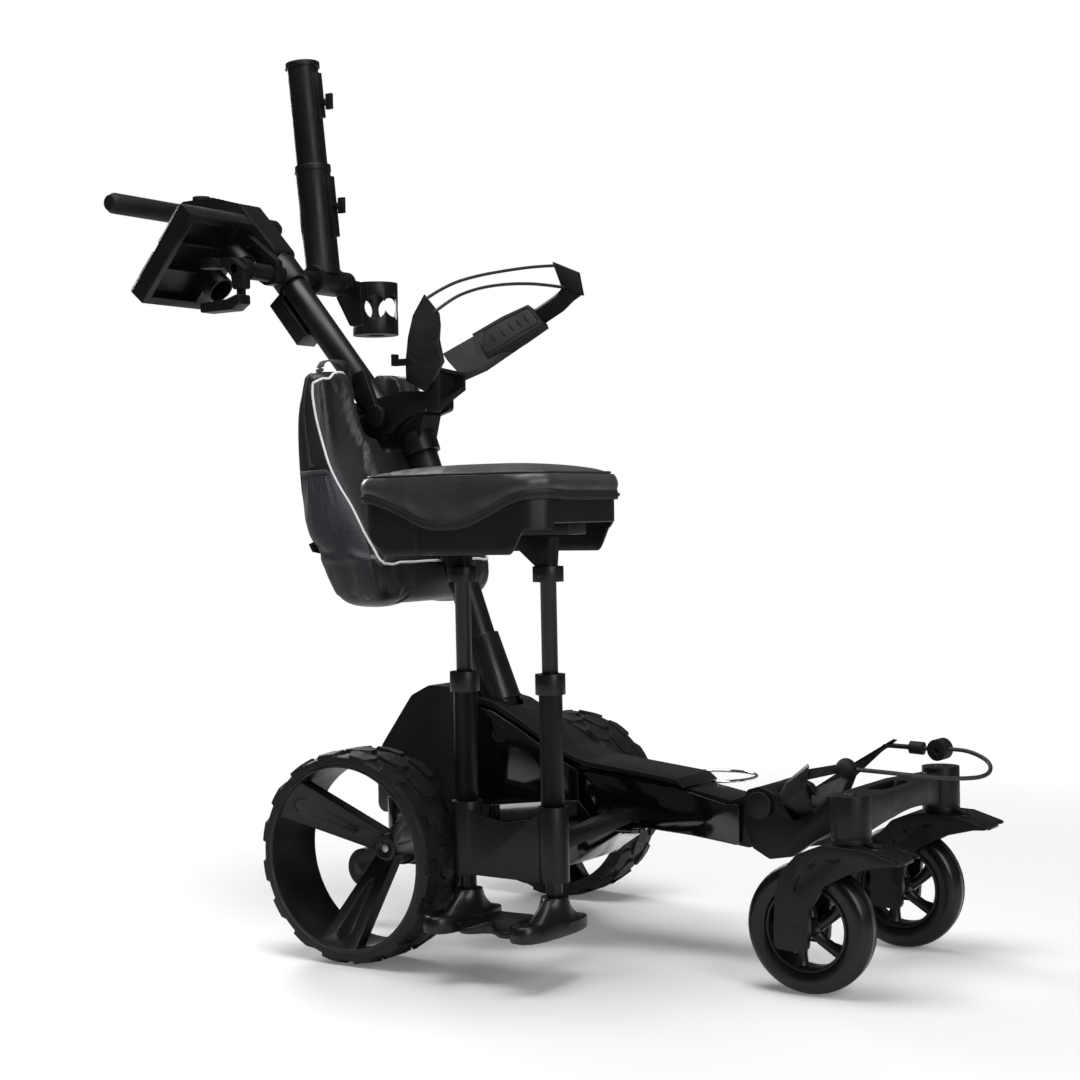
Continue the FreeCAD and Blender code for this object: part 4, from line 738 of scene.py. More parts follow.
# ==== rear wheels ==============================================================================
def tread_lug(name, stations, base, top, slits):
    """One block of tread, bent to the tyre's curve: stations are (around, y low, y high) in millimetres."""
    sections = []
    for around, low, high in stations:
        ring = []
        for radius, inset in ((base, 0.0), (top, 1.3)):
            turn = (around - math.copysign(inset, around)) / 149
            edge = [(low + inset, high - inset), (high - inset, low + inset)][radius == top]
            for y in edge:
                drop = max(0.0, abs(y) - 42.5) * 0.75 if radius == top else max(0.0, abs(y) - 44) * 1.2
                r = radius - drop
                ring.append(V((r * math.sin(turn), y, r * math.cos(turn))) * MM)
        sections.append(ring)
    lug = loft(name, sections)
    middle_y = (stations[2][1] + stations[2][2]) / 2
    parts = []
    for angle, away, length in slits:
        move = shifted((0, middle_y, top)) @ rotated(angle, "Z") @ shifted((away, 0, 0))
        parts.append(box("slit", (length, 1.5, 5), move))
    return cut(lug, merged("slits", parts))


def rear_tyre(name, side, settings):
    """A tyre carcass with three rows of chunky blocks, the outer rows lapping over the shoulders."""
    centre = V((0, side * TYRE_Y, AXLE_Z))
    carcass = lathe("carcass", [(134, -48.5), (139.5, -48.5), (143.5, -47), (145.8, -43), (146.4, -36),
                                (146.4, 36), (145.8, 43), (143.5, 47), (139.5, 48.5), (134, 48.5)],
                    centre, steps=128)
    top = 146.4 + settings.lug_height / MM
    count = settings.lug_count
    star = [(20 + 72 * i, 8.5, 8) for i in range(5)]
    rows = (
        ([(-24, -6, 6), (-17, -17, 15), (0, -19, 19), (17, -15, 17), (24, -6, 6)], 0.0, star),
        ([(-22, 25, 34), (-15, 22.5, 48.2), (0, 24, 48.2), (15, 22.5, 48.2), (22, 25, 34)], 0.5,
         [(a, d, 7) for a, d in ((35, 8), (145, 8), (-90, 7))]),
        ([(-22, -34, -25), (-15, -48.2, -22.5), (0, -48.2, -24), (15, -48.2, -22.5), (22, -34, -25)], 0.5,
         [(a, d, 7) for a, d in ((-35, 8), (-145, 8), (90, 7))]),
    )
    parts = [carcass]
    for stations, shift, slits in rows:
        lug = tread_lug("lug", stations, 145, top, slits)
        parts.append(repeated(lug, trees["ring"], Count=count, Start=shift * math.tau / count,
                              Centre=centre * MM, Finish=finishes["rubber"]))
    parts.append(lathe("shoulder", [(140.5, 47.6), (143.0, 47.6), (143.0, 48.5), (140.5, 48.5)], centre))
    return dress(merged("tyre_" + name, parts), "rubber", "rear_wheel_" + name,
                 ("rear_tyre_" + name,))


def loop_points(side, angle):
    """The long loop pressed into a spoke's face, from near the hub out to the rim."""
    out = V((math.cos(angle), 0, math.sin(angle)))
    across = V((-math.sin(angle), 0, math.cos(angle)))
    edge = [(46, 4.5), (70, 7), (94, 10), (108, 12)]
    tip = [math.radians(turn) for turn in (60, 30, 0, -30, -60)]
    root = [math.radians(turn) for turn in (-60, 0, 60)]
    spots = edge + [(108 + 12 * math.cos(t), 12 * math.sin(t)) for t in tip]
    spots += [(r, -wide) for r, wide in reversed(edge)]
    spots += [(46 - 4.5 * math.cos(t), 4.5 * math.sin(t)) for t in root]
    return [V((0, side * (223 + (r - 13) * 98 / 117 + 0.2), AXLE_Z)) + out * r + across * wide
            for r, wide in spots]


def rear_rim(name, side):
    """Thin barrel with three broad dished spokes, each with a long loop pressed into its face."""
    rim = copy_of("rear_rim_" + name, "rim_" + name)
    for i in range(3):
        path = loop_points(side, math.radians(22 + 120 * i))
        rim = cut(rim, sweep("loop", path, 1.6, closed=True, around=6, up=(0, 1, 0)))
    eased(rim, 1.0, 2, 30)
    return dress(rim, "satin", "rear_wheel_" + name, ("rear_rim_" + name,))


def hub_details(name, side):
    """Hub cap ring with a cross-shaped key slot round the bright axle end."""
    centre = V((0, side * HUB_Y, AXLE_Z))
    ring = lathe("hub_ring_" + name, [(7.2, 0.1), (20.2, 0.1), (19.6, 2.4), (13.5, 2.8), (12.8, 1.6), (7.2,
                                                                                                       1.6)],
                 centre, steps=48)
    if side < 0:
        flip = Matrix.Scale(-1, 4, (0, 1, 0))
        ring.data.transform(shifted((0, -HUB_Y, 0)) @ flip @ shifted((0, HUB_Y, 0)))
        ring.data.flip_normals()
    keys = [box("key", (5, 8, 4), shifted(centre) @ rotated(-(22 + 90 * i), "Y") @ shifted((9, 0, 0)))
            for i in range(4)]
    cut(ring, merged("keys", keys))
    return dress(eased(ring, 0.3), "satin", "rear_wheel_" + name)


class TROLLEY_OT_rear_wheels(bpy.types.Operator):
    """Makes the two treaded rear tyres, their rims and their hub rings"""
    bl_idname = "trolley.rear_wheels"
    bl_label = "Rear wheels"

    def execute(self, context):
        """Builds both sides."""
        for name, side in SIDES:
            rear_tyre(name, side, context.scene.trolley)
            rear_rim(name, side)
            hub_details(name, side)
        return {"FINISHED"}


# ==== casters ==================================================================================
def caster_wheel(name, side):
    """Caster tyre with fine rings round its tread, on a lipped rim with five curved spokes."""
    centre = V((CASTER_X, side * CASTER_Y, CASTER_Z))
    half = [(58, 18.5), (60, 20.5), (64, 21.6), (70, 22.8), (76, 22.4), (80.5, 20.6), (83.6, 17.8)]
    for y in (15.6, 13.2, 10.8, 8.4, 6.0):
        r = 87.4 - (y / 18) ** 2 * 3.4
        half += [(r, y + 0.45), (r - 0.55, y), (r, y - 0.45)]
    half += [(87.4, 2)]
    profile = half + [(r, -y) for r, y in reversed(half)]
    dress(lathe("caster_tyre_" + name, profile, centre, steps=120, sharp=50), "caster",
          "caster_roller_" + name)
    lip = lathe("lip", [(57.9, 18.4), (56.8, 19.8), (54, 19.2), (52.4, 16), (52, 0), (52.4, -16), (54, -19.2),
                        (56.8, -19.8), (57.9, -18.4), (57.9, 0)], centre, steps=96)
    hub = lathe("hub", [(5.1, 26.6), (10.5, 26.6), (11.6, 25.4), (13.8, 12), (15, 0), (13.8, -12),
                        (11.6, -25.4), (10.5, -26.6), (5.1, -26.6)], centre, steps=48)
    parts = [lip, hub]
    for i in range(5):
        sections = []
        for r, bend, wide, thick in ((11, 0, 9, 9), (22, 5, 7.5, 7.5), (36, 12, 8, 6.5), (48, 17, 10, 8),
                                     (53, 19, 12, 10)):
            angle = math.radians(90 + 72 * i + bend)
            out = V((math.cos(angle), 0, math.sin(angle)))
            across = V((-math.sin(angle), 0, math.cos(angle)))
            sections.append([(centre + out * r + across * wide * math.cos(math.tau * k / 12)
                              + V((0, 1, 0)) * thick * math.sin(math.tau * k / 12)) * MM for k in range(12)])
        parts.append(loft("spoke", sections))
    dress(merged("caster_rim_" + name, parts), "satin", "caster_roller_" + name,
          ("caster_wheel_" + name,))


class TROLLEY_OT_casters(bpy.types.Operator):
    """Makes the two front caster wheels"""
    bl_idname = "trolley.casters"
    bl_label = "Caster wheels"

    def execute(self, context):
        """Builds both sides."""
        for name, side in SIDES:
            caster_wheel(name, side)
        return {"FINISHED"}


# ==== seat =====================================================================================
SEAT_PLAN = ((96, -210), (96, -380), (120, -402), (190, -406), (245, -418), (300, -406), (372, -402),
             (395, -380), (395, -214), (364, -180), (300, -176), (190, -176), (126, -180))
SEAT_MIDDLE = V((245, -297))


def seat_ring(inset, steps=5):
    """The seat's outline from above, drawn in by a margin in millimetres, as evenly spaced points."""
    shrunk = []
    edge = min(inset, 16)
    share = 1 - max(0, inset - 16) / 110
    for x, y in SEAT_PLAN:
        shrunk.append((x + (edge if x < SEAT_MIDDLE.x else -edge),
                       y + (edge if y < SEAT_MIDDLE.y else -edge)))
    ring = [SEAT_MIDDLE + (V(p) - SEAT_MIDDLE) * share for p in rounded(shrunk, 26, steps)]
    total = sum((ring[i] - ring[i - 1]).length for i in range(len(ring)))
    count, out, walked, i = 300, [], 0.0, 0
    for k in range(count):
        want = total * k / count
        while walked + (ring[(i + 1) % len(ring)] - ring[i % len(ring)]).length < want:
            walked += (ring[(i + 1) % len(ring)] - ring[i % len(ring)]).length
            i += 1
        a, b = ring[i % len(ring)], ring[(i + 1) % len(ring)]
        out.append(a.lerp(b, (want - walked) / max((b - a).length, 1e-6)))
    return out


def seat_outward(ring, i):
    """The direction square to the seat's outline at one of its points, away from the middle."""
    along = (ring[(i + 1) % len(ring)] - ring[i - 1]).normalized()
    outward = V((along.y, -along.x))
    return -outward if outward.dot(ring[i] - SEAT_MIDDLE) < 0 else outward


def ease(value, low, high):
    """A smooth step from 0 at low to 1 at high."""
    t = min(1.0, max(0.0, (value - low) / (high - low)))
    return t * t * (3 - 2 * t)


def skirt_foot(spot):
    """Height of the seat shell's lower edge: deepest in the middle, stepped up at both ends."""
    deep = ease(spot.x, 108, 146) * (1 - ease(spot.x, 346, 372))
    return 614 - 31.5 * deep + 8 * ease(spot.x, 372, 392) * (spot.y > -370)


def skirt_swell(spot, height):
    """How far the shell's wall stands in: a groove, a step beside it, and a drawn-in foot."""
    draw = 1.2 * ease(height, 640, 585)
    near = spot.y < -380
    groove = 5.5 * ease(spot.x, 198, 203) * (1 - ease(spot.x, 224, 229)) if near else 0
    step = 2.8 * ease(spot.x, 225, 230) * (1 - ease(spot.x, 282, 287)) if near else 0
    return draw + groove + step


def seat_shell():
    """Moulded pan with a thin skirt, a groove and a step in its near side, and a rolled upper rim."""
    ring = seat_ring(0)
    sections = []
    rows = (1.0, 0.97, 0.85, 0.6, 0.35, 0.15, 0.03, 0.0)
    for wall in (0, 3):
        order = rows if wall == 0 else tuple(reversed(rows))
        for t in order:
            level = []
            for i, spot in enumerate(ring):
                foot = skirt_foot(spot)
                z = foot + (654.6 - foot) * t
                tuck = (0.9 if t in (0.0, 1.0) else 0) * (1 if wall == 0 else -1)
                flat = spot - seat_outward(ring, i) * (skirt_swell(spot, z) + wall + tuck)
                level.append(V((flat.x, flat.y, z)) * MM)
            sections.append(level)
    skirt = loft("skirt", sections, closed=True)
    deck = plate("deck", [tuple(p) for p in seat_ring(3.2)], 640.5, 654.4, "XY", 0, 0)
    rail = plate("rail", [(121, -294), (372, -294), (372, -250), (121, -250)], 606.2, 641, "XY", 5, 1.2)
    ribs = [plate("rib", [(x, -392), (x + 3, -392), (x + 3, -186), (x, -186)], 622, 641, "XY", 0, 0.4)
            for x in (150, 200, 290, 338)]
    shell = merged("seat_pan", [skirt, deck, rail, *ribs])
    return dress(shell, "satin", "seat", ("seat_shell",))


def zip_height(spot):
    """Height of the cushion's zip band: level all round, with a deep dip in the middle of the near side."""
    near = ease(-spot.y, 330, 372)
    dip = ease(spot.x, 108, 250) * (1 - ease(spot.x, 264, 384))
    return 660.5 - 38.5 * dip * near - 2 * (1 - near)


def cushion_body():
    """The padded seat: a crowned closed form, blown up as cloth and drawn in along its seams."""
    levels = ((6, 656.6), (2, 659), (-1.5, 664), (-3.2, 671), (-2.6, 679), (1.0, 686), (6, 689.5), (16, 692),
              (34, 694.5), (60, 696), (86, 696.8))
    sections = [[V((p.x, p.y, z)) * MM for p in seat_ring(inset)] for inset, z in levels]
    pad = loft("pad", sections, sharp=60)
    evened(pad, 0.0055)

    def sewn(spot):
        middle = 0.11 < spot.x < 0.38 and -0.385 < spot.y < -0.2
        return spot.z < 0.661 or abs(spot.z - 0.6885) < 0.0022 and not middle

    slackened(pad, sewn, 20, 0.007, 0, quality=6, uniform_pressure_force=6, tension_stiffness=12,
              bending_stiffness=0.6, shrink_min=-0.006)
    for v in pad.data.vertices:
        v.co.z = max(v.co.z, 0.6558)
    return finer(pad, 1, 60)


def cushion_apron():
    """The cushion's near side, which hangs over the shell's face as far as the zip band."""
    path = seat_ring(0)
    sections = []
    for wall in (0, 1):
        for k in range(9):
            t = k / 8
            level = []
            for i, spot in enumerate(path):
                top, low = 686.5, zip_height(spot) + 3
                z = top + (low - top) * t
                over = 3.6 + 3.2 * math.sin(math.pi * min(1, t * 1.05)) - 3.2 * (1 - t) ** 3
                fold = 0.8 * math.sin(spot.x * 0.11 + spot.y * 0.07 + z * 0.05) * math.sin(math.pi * t)
                flat = spot + seat_outward(path, i) * (over + fold - 2.2 * wall)
                level.append(V((flat.x, flat.y, z)) * MM)
            sections.append(level)
    outer, inner = sections[:9], list(reversed(sections[9:]))
    return loft("apron", outer + inner, closed=True, sharp=60)


def zip_band():
    """Woven band with zip teeth that runs round the cushion's lower edge."""
    path = seat_ring(0)
    sections = []
    for over, drop in ((0.9, 6.5), (4.6, 6.5), (5.6, 3.5), (5.8, -3.5), (4.8, -6.5), (0.9, -6.5)):
        level = []
        for i, spot in enumerate(path):
            flat = spot + seat_outward(path, i) * over
            level.append(V((flat.x, flat.y, zip_height(spot) + drop)) * MM)
        sections.append(level)
    band = loft("band", sections, closed=True)
    line = bpy.data.curves.new("zip line", "CURVE")
    line.dimensions = "3D"
    run = line.splines.new("POLY")
    run.points.add(len(path) - 1)
    for i, spot in enumerate(path):
        flat = spot + seat_outward(path, i) * 5.9
        run.points[i].co = (flat.x * MM, flat.y * MM, zip_height(spot) * MM, 1)
    run.use_cyclic_u = True
    guide = place_object("zip line", line)
    teeth = repeated(box("tooth", (1.3, 4.2, 4.2), Matrix()), trees["path"], Path=guide, Spacing=0.0032,
                     Finish=finishes["tape"])
    bpy.data.objects.remove(guide)
    return merged("seat_zip", [band, teeth])


def seam_cord(name, inset, height, radius):
    """A sewn roll of cloth round the cushion."""
    ring = seat_ring(inset)
    return sweep(name, [(p.x, p.y, height) for p in ring], radius, closed=True, around=8)


class TROLLEY_OT_seat(bpy.types.Operator):
    """Makes the seat pan, the padded cushion, its zip band and its sewn seam"""
    bl_idname = "trolley.seat"
    bl_label = "Seat"

    def execute(self, context):
        """Builds the seat."""
        seat_shell()
        body = merged("seat_pad", [cushion_body(), cushion_apron(),
                                   seam_cord("roll", 3.4, 688.6, 1.7)])
        body.data.set_sharp_from_angle(angle=math.radians(60))
        dress(body, "vinyl", "seat", ("seat_cushion",))
        dress(zip_band(), "tape", "seat")
        return {"FINISHED"}


# ==== cooler bag ===============================================================================
# Levels of the bag from its foot up: height, front at the middle, front seam, back, half width.
BAG_LEVELS = ((500, -92, -96, -132, 96), (503, -66, -78, -140, 128), (512, -54, -62, -148, 142),
              (530, -47, -52, -158, 148), (566, -46, -50, -176, 150), (606, -62, -82, -196, 150),
              (650, -80, -108, -211, 150), (708, -104, -146, -221, 150), (782, -138, -170, -226, 149),
              (826, -150, -178, -220, 148), (848, -156, -180, -212, 143), (860, -164, -182, -204, 132),
              (865, -172, -184, -198, 112))


def bag_ring(level, front, seam, back, half):
    """One level of the bag: a bowed front panel, a side gusset and a rounded back."""
    wide = half / 150
    side = [(front, 0), (front - 1, 30), (front - (front - seam) * 0.25, 70), (seam + (front - seam) * 0.3,
                                                                               110),
            (seam, 139), (seam - 9, 148), ((seam * 2 + back) / 3, 150.5), ((seam + back * 2) / 3, 149),
            (back + 3, 147), (back - 4, 134), (back - 6, 70), (back - 6, 30)]
    ring = [(x, y * wide) for x, y in side] + [(back - 6, 0)] + [(x, -y * wide) for x,
                                                                 y in reversed(side[1:])]
    return [V((x, y, level)) * MM for x, y in ring]


def bag_clearance():
    """The room that the bag leaves round the column, the hinge and the handle's swing."""
    parts = []
    for start, end, radius in (((91, 0, 256), (-91, 0, 756), 26), ((-140, -44, 792), (-140, 44, 792), 41),
                               ((-159, 0, 800), (-300, 0, 972), 34), ((-75, 0, 711), (-104, 0, 790), 34)):
        parts.append(sweep("rod", [start, V(start).lerp(V(end), 0.5), end], radius, around=28,
                           up=(0, 1, 0) if start[1] == 0 else (0, 0, 1)))
    parts.append(plate("slot", [(-189, 737), (-20, 737), (-20, 890), (-189, 890)], -48, 48, "XZ", 10, 0))
    parts.append(plate("lever room", [(-190, 760), (-104, 760), (-104, 890), (-190, 890)], -68, -26, "XZ", 8,
                       0))
    return parts


def bag_body():
    """Soft insulated bag: lofted, cut round the column, then slackened as cloth."""
    bag = loft("bag", [bag_ring(*level) for level in BAG_LEVELS], sharp=60)
    finer(bag, 2)
    for cutter in bag_clearance():
        cut(bag, cutter)
    evened(bag, 0.006)
    soft = bag.modifiers.new("soft", "SMOOTH")
    soft.factor = 0.5
    soft.iterations = 4
    baked(bag)

    def held(spot):
        by_column = abs(spot.y) < 0.075 and spot.x > -0.2
        return by_column or spot.z > 0.852 or abs(spot.z - 0.566) < 0.004

    slackened(bag, held, 18, 0.005, 0.35, quality=5, uniform_pressure_force=0.6, bending_stiffness=0.3,
              shrink_min=-0.03)
    return finer(bag, 1, 70)


def side_pocket(bag):
    """A net pocket sewn over the near side of the bag: full in the middle and gathered at its hem."""
    across, up = 56, 48
    bm = bmesh.new()
    rows = []
    for j in range(up + 1):
        v = j / up
        z = 516 + 190 * v
        front = -64 - 82 * ease(z, 520, 760) - 8 * v
        back = -150 - 58 * ease(z, 500, 640)
        row = []
        for i in range(across + 1):
            u = i / across
            spot = V((front + (back - front) * u, -200, z))
            found, where, _, _ = bag.ray_cast(spot * MM, V((0, 1, 0)))
            y = where.y / MM if found and where.y < -0.12 else -148
            full = (math.sin(math.pi * u) ** 0.6) * (math.sin(math.pi * min(0.93, 0.04 + v * 0.92)) ** 0.5)
            gather = 1.3 * math.sin(u * 52) * ease(v, 0.66, 0.98)
            crease = 1.6 * math.sin(u * 7 + v * 5) * math.sin(v * 9 - u * 4) * full
            row.append(bm.verts.new(V((spot.x, y - 0.6 - 7.5 * full - gather * full - crease, z)) * MM))
        rows.append(row)
    for low, high in zip(rows, rows[1:]):
        for i in range(across):
            bm.faces.new((low[i], low[i + 1], high[i + 1], high[i]))
    pocket = close_mesh("bag_pocket", bm, 60)
    walls = pocket.modifiers.new("cloth thickness", "SOLIDIFY")
    walls.thickness = 1.1 * MM
    walls.offset = 0
    return baked(pocket, 60)


def laid_on(bag, points, lift):
    """Points in millimetres moved onto the bag's skin and off it by a distance."""
    out = []
    for spot in points:
        hit, where, facing, _ = bag.closest_point_on_mesh(V(spot) * MM)
        out.append(where / MM + facing * lift)
    return out


class TROLLEY_OT_bag(bpy.types.Operator):
    """Makes the cooler bag with its piping, pocket, zip, strap and eyelets"""
    bl_idname = "trolley.bag"
    bl_label = "Cooler bag"

    def execute(self, context):
        """Builds the bag and what is sewn to it."""
        bag = bag_body()
        bag.name = "bag_body"
        radius = context.scene.trolley.piping / MM / 2
        outline = [(-184, -138, 845), (-184, -100, 852), (-178, -62, 853)]
        side = [(-187, -142, 836), (-176, -144, 782), (-150, -144, 708), (-107, -144, 650), (-82, -144, 606),
                (-56, -143, 575), (-47, -134, 566), (-46, -90, 566), (-46, 0, 566)]
        left = [(x, -y, z) for x, y, z in reversed(side[:-1])] + [(x, -y, z) for x, y, z in outline]
        path = list(reversed(outline)) + side + left
        line = smooth_path(laid_on(bag, smooth_path(path, steps=4), radius * 0.6), steps=2)
        dress(sweep("bag_piping", line, radius, around=8, up=(0.2, 0.1, 1)), "piping", "chassis")

        dress(side_pocket(bag), "net", "chassis")
        hem = [(x, -153, 705 + 0.04 * (x + 180)) for x in range(-209, -146, 7)]
        dress(sweep("bag_pocket_hem", laid_on(bag, hem, 5.0), 3.4, around=8, flat=0.6, up=(0, 1, 0)),
              "webbing",
              "chassis")
        for name, side_y in SIDES:
            run = [(-204, side_y * 120, 858), (-203, side_y * 147, 846), (-202, side_y * 151, 790),
                   (-192, side_y * 151, 720), (-178, side_y * 151, 716)]
            track = smooth_path(laid_on(bag, smooth_path(run, steps=3), 0.9), steps=2)
            dress(sweep("bag_zip_" + name, track, 3.4, around=8, flat=0.5, up=(0, side_y, 0.02)), "tape",
                  "chassis")
        top = [(-192, -116, 862), (-192, -113, 872), (-191, -104, 879), (-190, -80, 881), (-189, -62, 878),
               (-188, -55, 871), (-187, -53, 860)]
        dress(sweep("bag_strap", smooth_path(top, steps=4), 9, around=10, flat=0.16, up=(0, 0.3, 1)),
              "webbing",
              "chassis")
        rings = []
        for spot in ((-84, -149, 512), (-84, 149, 512)):
            where = laid_on(bag, [spot], 0.6)[0]
            rings.append(lathe("ring", [(2.4, 0.8), (3.2, 1.3), (4.4, 0.8), (4.6, -0.6), (2.4, -0.6)], where,
                               steps=24))
        dress(merged("bag_eyelets", rings), "chrome", "chassis")
        dress(bag, "pack", "chassis", ("cooler_bag",))
        return {"FINISHED"}


# ==== reworked and added fine parts ============================================================
def block(spot, size, axis="Y", degrees=0.0):
    """A plain box in millimetres about a point, turned about one axis, for cutting with."""
    return box("block", size, shifted(spot) @ rotated(degrees, axis))


FORK_WALL = ((609, 62), (656, 60), (661, 118), (682, 149), (722, 170), (766, 181), (784, 182), (782, 186),
             (740, 199), (700, 201), (667, 197), (643, 186), (621, 163), (612, 134))
FORK_CROWN = ((636, 180), (645, 188), (667, 197), (700, 201), (740, 199), (784, 186), (784, 179), (742, 186),
              (700, 190), (667, 188), (648, 182))


def caster_fork(name, side):
    """The fork: two box legs whose tops sweep into an arched, slotted crown with a forward lug."""
    y = side * CASTER_Y
    walls = [plate("wall", FORK_WALL, y + low, y + low + 11, "XZ", 9, 0, 5) for low in (-38, 27)]
    slots = [block((x, y + flank * 38.6, z), (5, 9, tall), "Y", turn)
             for flank in (-1, 1) for x, z, tall, turn in ((668, 177, 16, 48), (697, 184, 17, 75),
                                                           (645, 150, 22, 26))]
    walls = merged("walls", walls)
    cut(walls, merged("slots", slots))
    eased(walls, 2.2, 3, 30)
    crown = plate("crown", FORK_CROWN, y - 37.5, y + 37.5, "XZ", 5, 0, 4)
    plan = [(600, y - 37.5), (738, y - 37.5), (760, y - 25), (784, y - 19), (784, y + 19), (760, y + 25),
            (738, y + 37.5), (600, y + 37.5)]
    cut(crown, plate("plan", plan, 150, 230, "XY", 8, 0, 4), "INTERSECT")
    eased(crown, 1.8, 3, 30)
    collar = lathe("collar", [(0, 186), (24, 186), (24, 197.5), (23, 198.6), (0, 198.6)], (STEM_X, y, 0),
                   "Z", 64)
    boss = lathe("boss", [(0, 189), (10.5, 189), (10.5, 198), (9.8, 198.7), (0, 198.7)],
                 (741, y - 10, 0), "Z", 40)
    bolts = [lathe("bolt", [(0, low), (7.5, low), (8, low + 1), (8, high - 1), (7.5, high), (0, high)],
                   (CASTER_X, y, CASTER_Z), "Y", 32) for low, high in ((-40.5, -36), (36, 40.5))]
    axle = lathe("axle", [(0, -37), (5, -37), (5, 37), (0, 37)], (CASTER_X, y, CASTER_Z), "Y", 24)
    fork = merged("fork_" + name, [walls, crown, collar, boss, axle, *bolts])
    return dress(fork, "nylon", "caster_" + name, stands_for=("caster_fork_" + name,))


def front_bridge():
    """The bridge between the stems, arched underneath, with rings round its two stem housings."""
    bridge = copy_of("caster_bridge", "front_bridge")
    arch_radius = 500
    arch = lathe("arch", [(0, 650), (arch_radius, 650), (arch_radius, 740), (0, 740)],
                 (0, 0, 226 - arch_radius), "X", 240)
    room = plate("room", [(600, -124), (800, -124), (800, 124), (600, 124)], 190, 240, "XY", 0, 0)
    cut(bridge, cut(arch, room, "INTERSECT"))
    for side in (-1, 1):
        groove = lathe("groove", [(25.2, 207), (30, 207), (30, 209.4), (25.2, 209.4)],
                       (STEM_X, side * CASTER_Y, 0), "Z", 64)
        cut(bridge, groove)
    eased(bridge, 2.2, 3, 30)
    return dress(bridge, "nylon", "front_frame", stands_for=("caster_bridge",))


def foot_ring(x, t, drop):
    """One ring of a foot, from its outline at t = 0 to its neck at t = 1, in millimetres."""
    ring = []
    for k in range(64):
        turn = math.tau * k / 64
        c, n = math.cos(turn), math.sin(turn)
        wide, long = 27.5, 95 if n < 0 else 60
        outline = (abs(c / wide) ** 2.8 + abs(n / long) ** 2.8) ** (-1 / 2.8)
        toe = max(0.0, -n) ** 2
        reach = outline + (19 - outline) * t
        height = 86 + 32 * t ** 2.4 + 8.5 * toe * math.exp(-((t - 0.10) / 0.13) ** 2)
        height -= 3.0 * toe * math.exp(-((t - 0.42) / 0.16) ** 2)
        ring.append((x + reach * c, LEG_Y + reach * n, height if drop is None else drop))
    return ring


def seat_feet():
    """Two flared feet with lipped toes, joined by a wavy web."""
    parts = []
    for x in LEGS_X:
        rings = [foot_ring(x, 0.08, 70), foot_ring(x, 0.01, 71.5), foot_ring(x, -0.02, 79)]
        rings += [foot_ring(x, t / 20, None) for t in range(0, 21)]
        top = [(px, py, 118) for px, py, _ in foot_ring(x, 1.12, 118)]
        parts.append(loft("foot", [[V(p) * MM for p in ring] for ring in [*rings, top]], sharp=50))
    sections = []
    for k in range(25):
        x = 190 + 123 * k / 24
        wave = math.cos(math.tau * 2 * k / 24)
        near, high = -334 + 9 * wave, 83 + 4.0 * wave
        outline = rounded([(near, 70), (-226, 70), (-226, 80), (near, high)], 3.5, 3)
        sections.append([V((x, y, z)) * MM for y, z in outline])
    parts.append(loft("web", sections, sharp=50))
    feet = merged("foot_pair", parts)
    feet.data.set_sharp_from_angle(angle=math.radians(55))
    return dress(feet, "satin", "seat", stands_for=("seat_feet",))


def drinks_cup():
    """The cup with five large oval windows round its wall."""
    cup = copy_of("drink_holder", "drinks_cup")
    for i in range(5):
        turn = math.radians(-52.5 + 72 * i)
        out = V((math.cos(turn), math.sin(turn), 0))
        across = V((-math.sin(turn), math.cos(turn), 0))
        middle = V((-321, 197, 993))
        sections = [[(middle + out * reach + across * 18 * math.cos(math.tau * k / 28)
                      + V((0, 0, 20.5 * math.sin(math.tau * k / 28)))) * MM for k in range(28)]
                    for reach in (20, 48)]
        cut(cup, loft("window", sections))
    eased(cup, 0.7, 2, 35)
    return dress(cup, "nylon", "drinks", stands_for=("drink_holder",))


def screw_head(spot, facing, radius):
    """A low domed screw head with a hexagon socket, seated on a face."""
    head = lathe("screw", [(0, -0.6), (radius, -0.6), (radius, 0.5), (radius * 0.86, 1.5), (radius * 0.6,
                                                                                            1.9),
                           (radius * 0.46, 1.9), (radius * 0.42, 0.5), (0, 0.5)], (0, 0, 0), "Z", 24)
    turn = V((0, 0, 1)).rotation_difference(V(facing).normalized()).to_matrix().to_4x4()
    head.data.transform(shifted(spot) @ turn)
    return head


def screws(name, body, places):
    """A set of screw heads on one body: each place is a point, the way it faces and its radius."""
    return dress(merged(name, [screw_head(*place) for place in places]), "satin", body)


def pad_ridges():
    """A raised border and five short ridges on the left cradle arm's soft pad."""
    stations = ((V((-16, 80, 899)), V((17, -4, -19)), V((-5, -5, 5))),
                (V((24, 108, 927)), V((17, -3, -18)), V((-5, -5, 5))),
                (V((58, 127, 948)), V((15, -3, -16)), V((-4, -4, 4))))

    def spot(t, w):
        first, k = (0, t * 2) if t < 0.5 else (1, t * 2 - 1)
        a, b = stations[first], stations[first + 1]
        middle, wide, out = (a[n].lerp(b[n], k) for n in range(3))
        return middle + wide * w + out * 1.02

    parts = []
    for t in (0.22, 0.37, 0.52, 0.67, 0.82):
        parts.append(sweep("ridge", [spot(t, w / 10) for w in range(-4, 5)],
                           [0.5, 1.1, 1.4, 1.5, 1.5, 1.5, 1.4, 1.1, 0.5], around=8, up=(0.3, -0.3, 0.9)))
    border = [spot(t, -0.78) for t in (0.06, 0.3, 0.5, 0.7, 0.94)]
    border += [spot(0.975, w) for w in (-0.5, 0, 0.5)]
    border += [spot(t, 0.78) for t in (0.94, 0.7, 0.5, 0.3, 0.06)] + [spot(0.025, w) for w in (0.5, 0, -0.5)]
    parts.append(sweep("border", smooth_path(border, closed=True, steps=3), 1.2, closed=True, around=8,
                       up=(0.3, -0.3, 0.9)))
    return dress(merged("arm_pad_ridges", parts), "soft", "chassis")


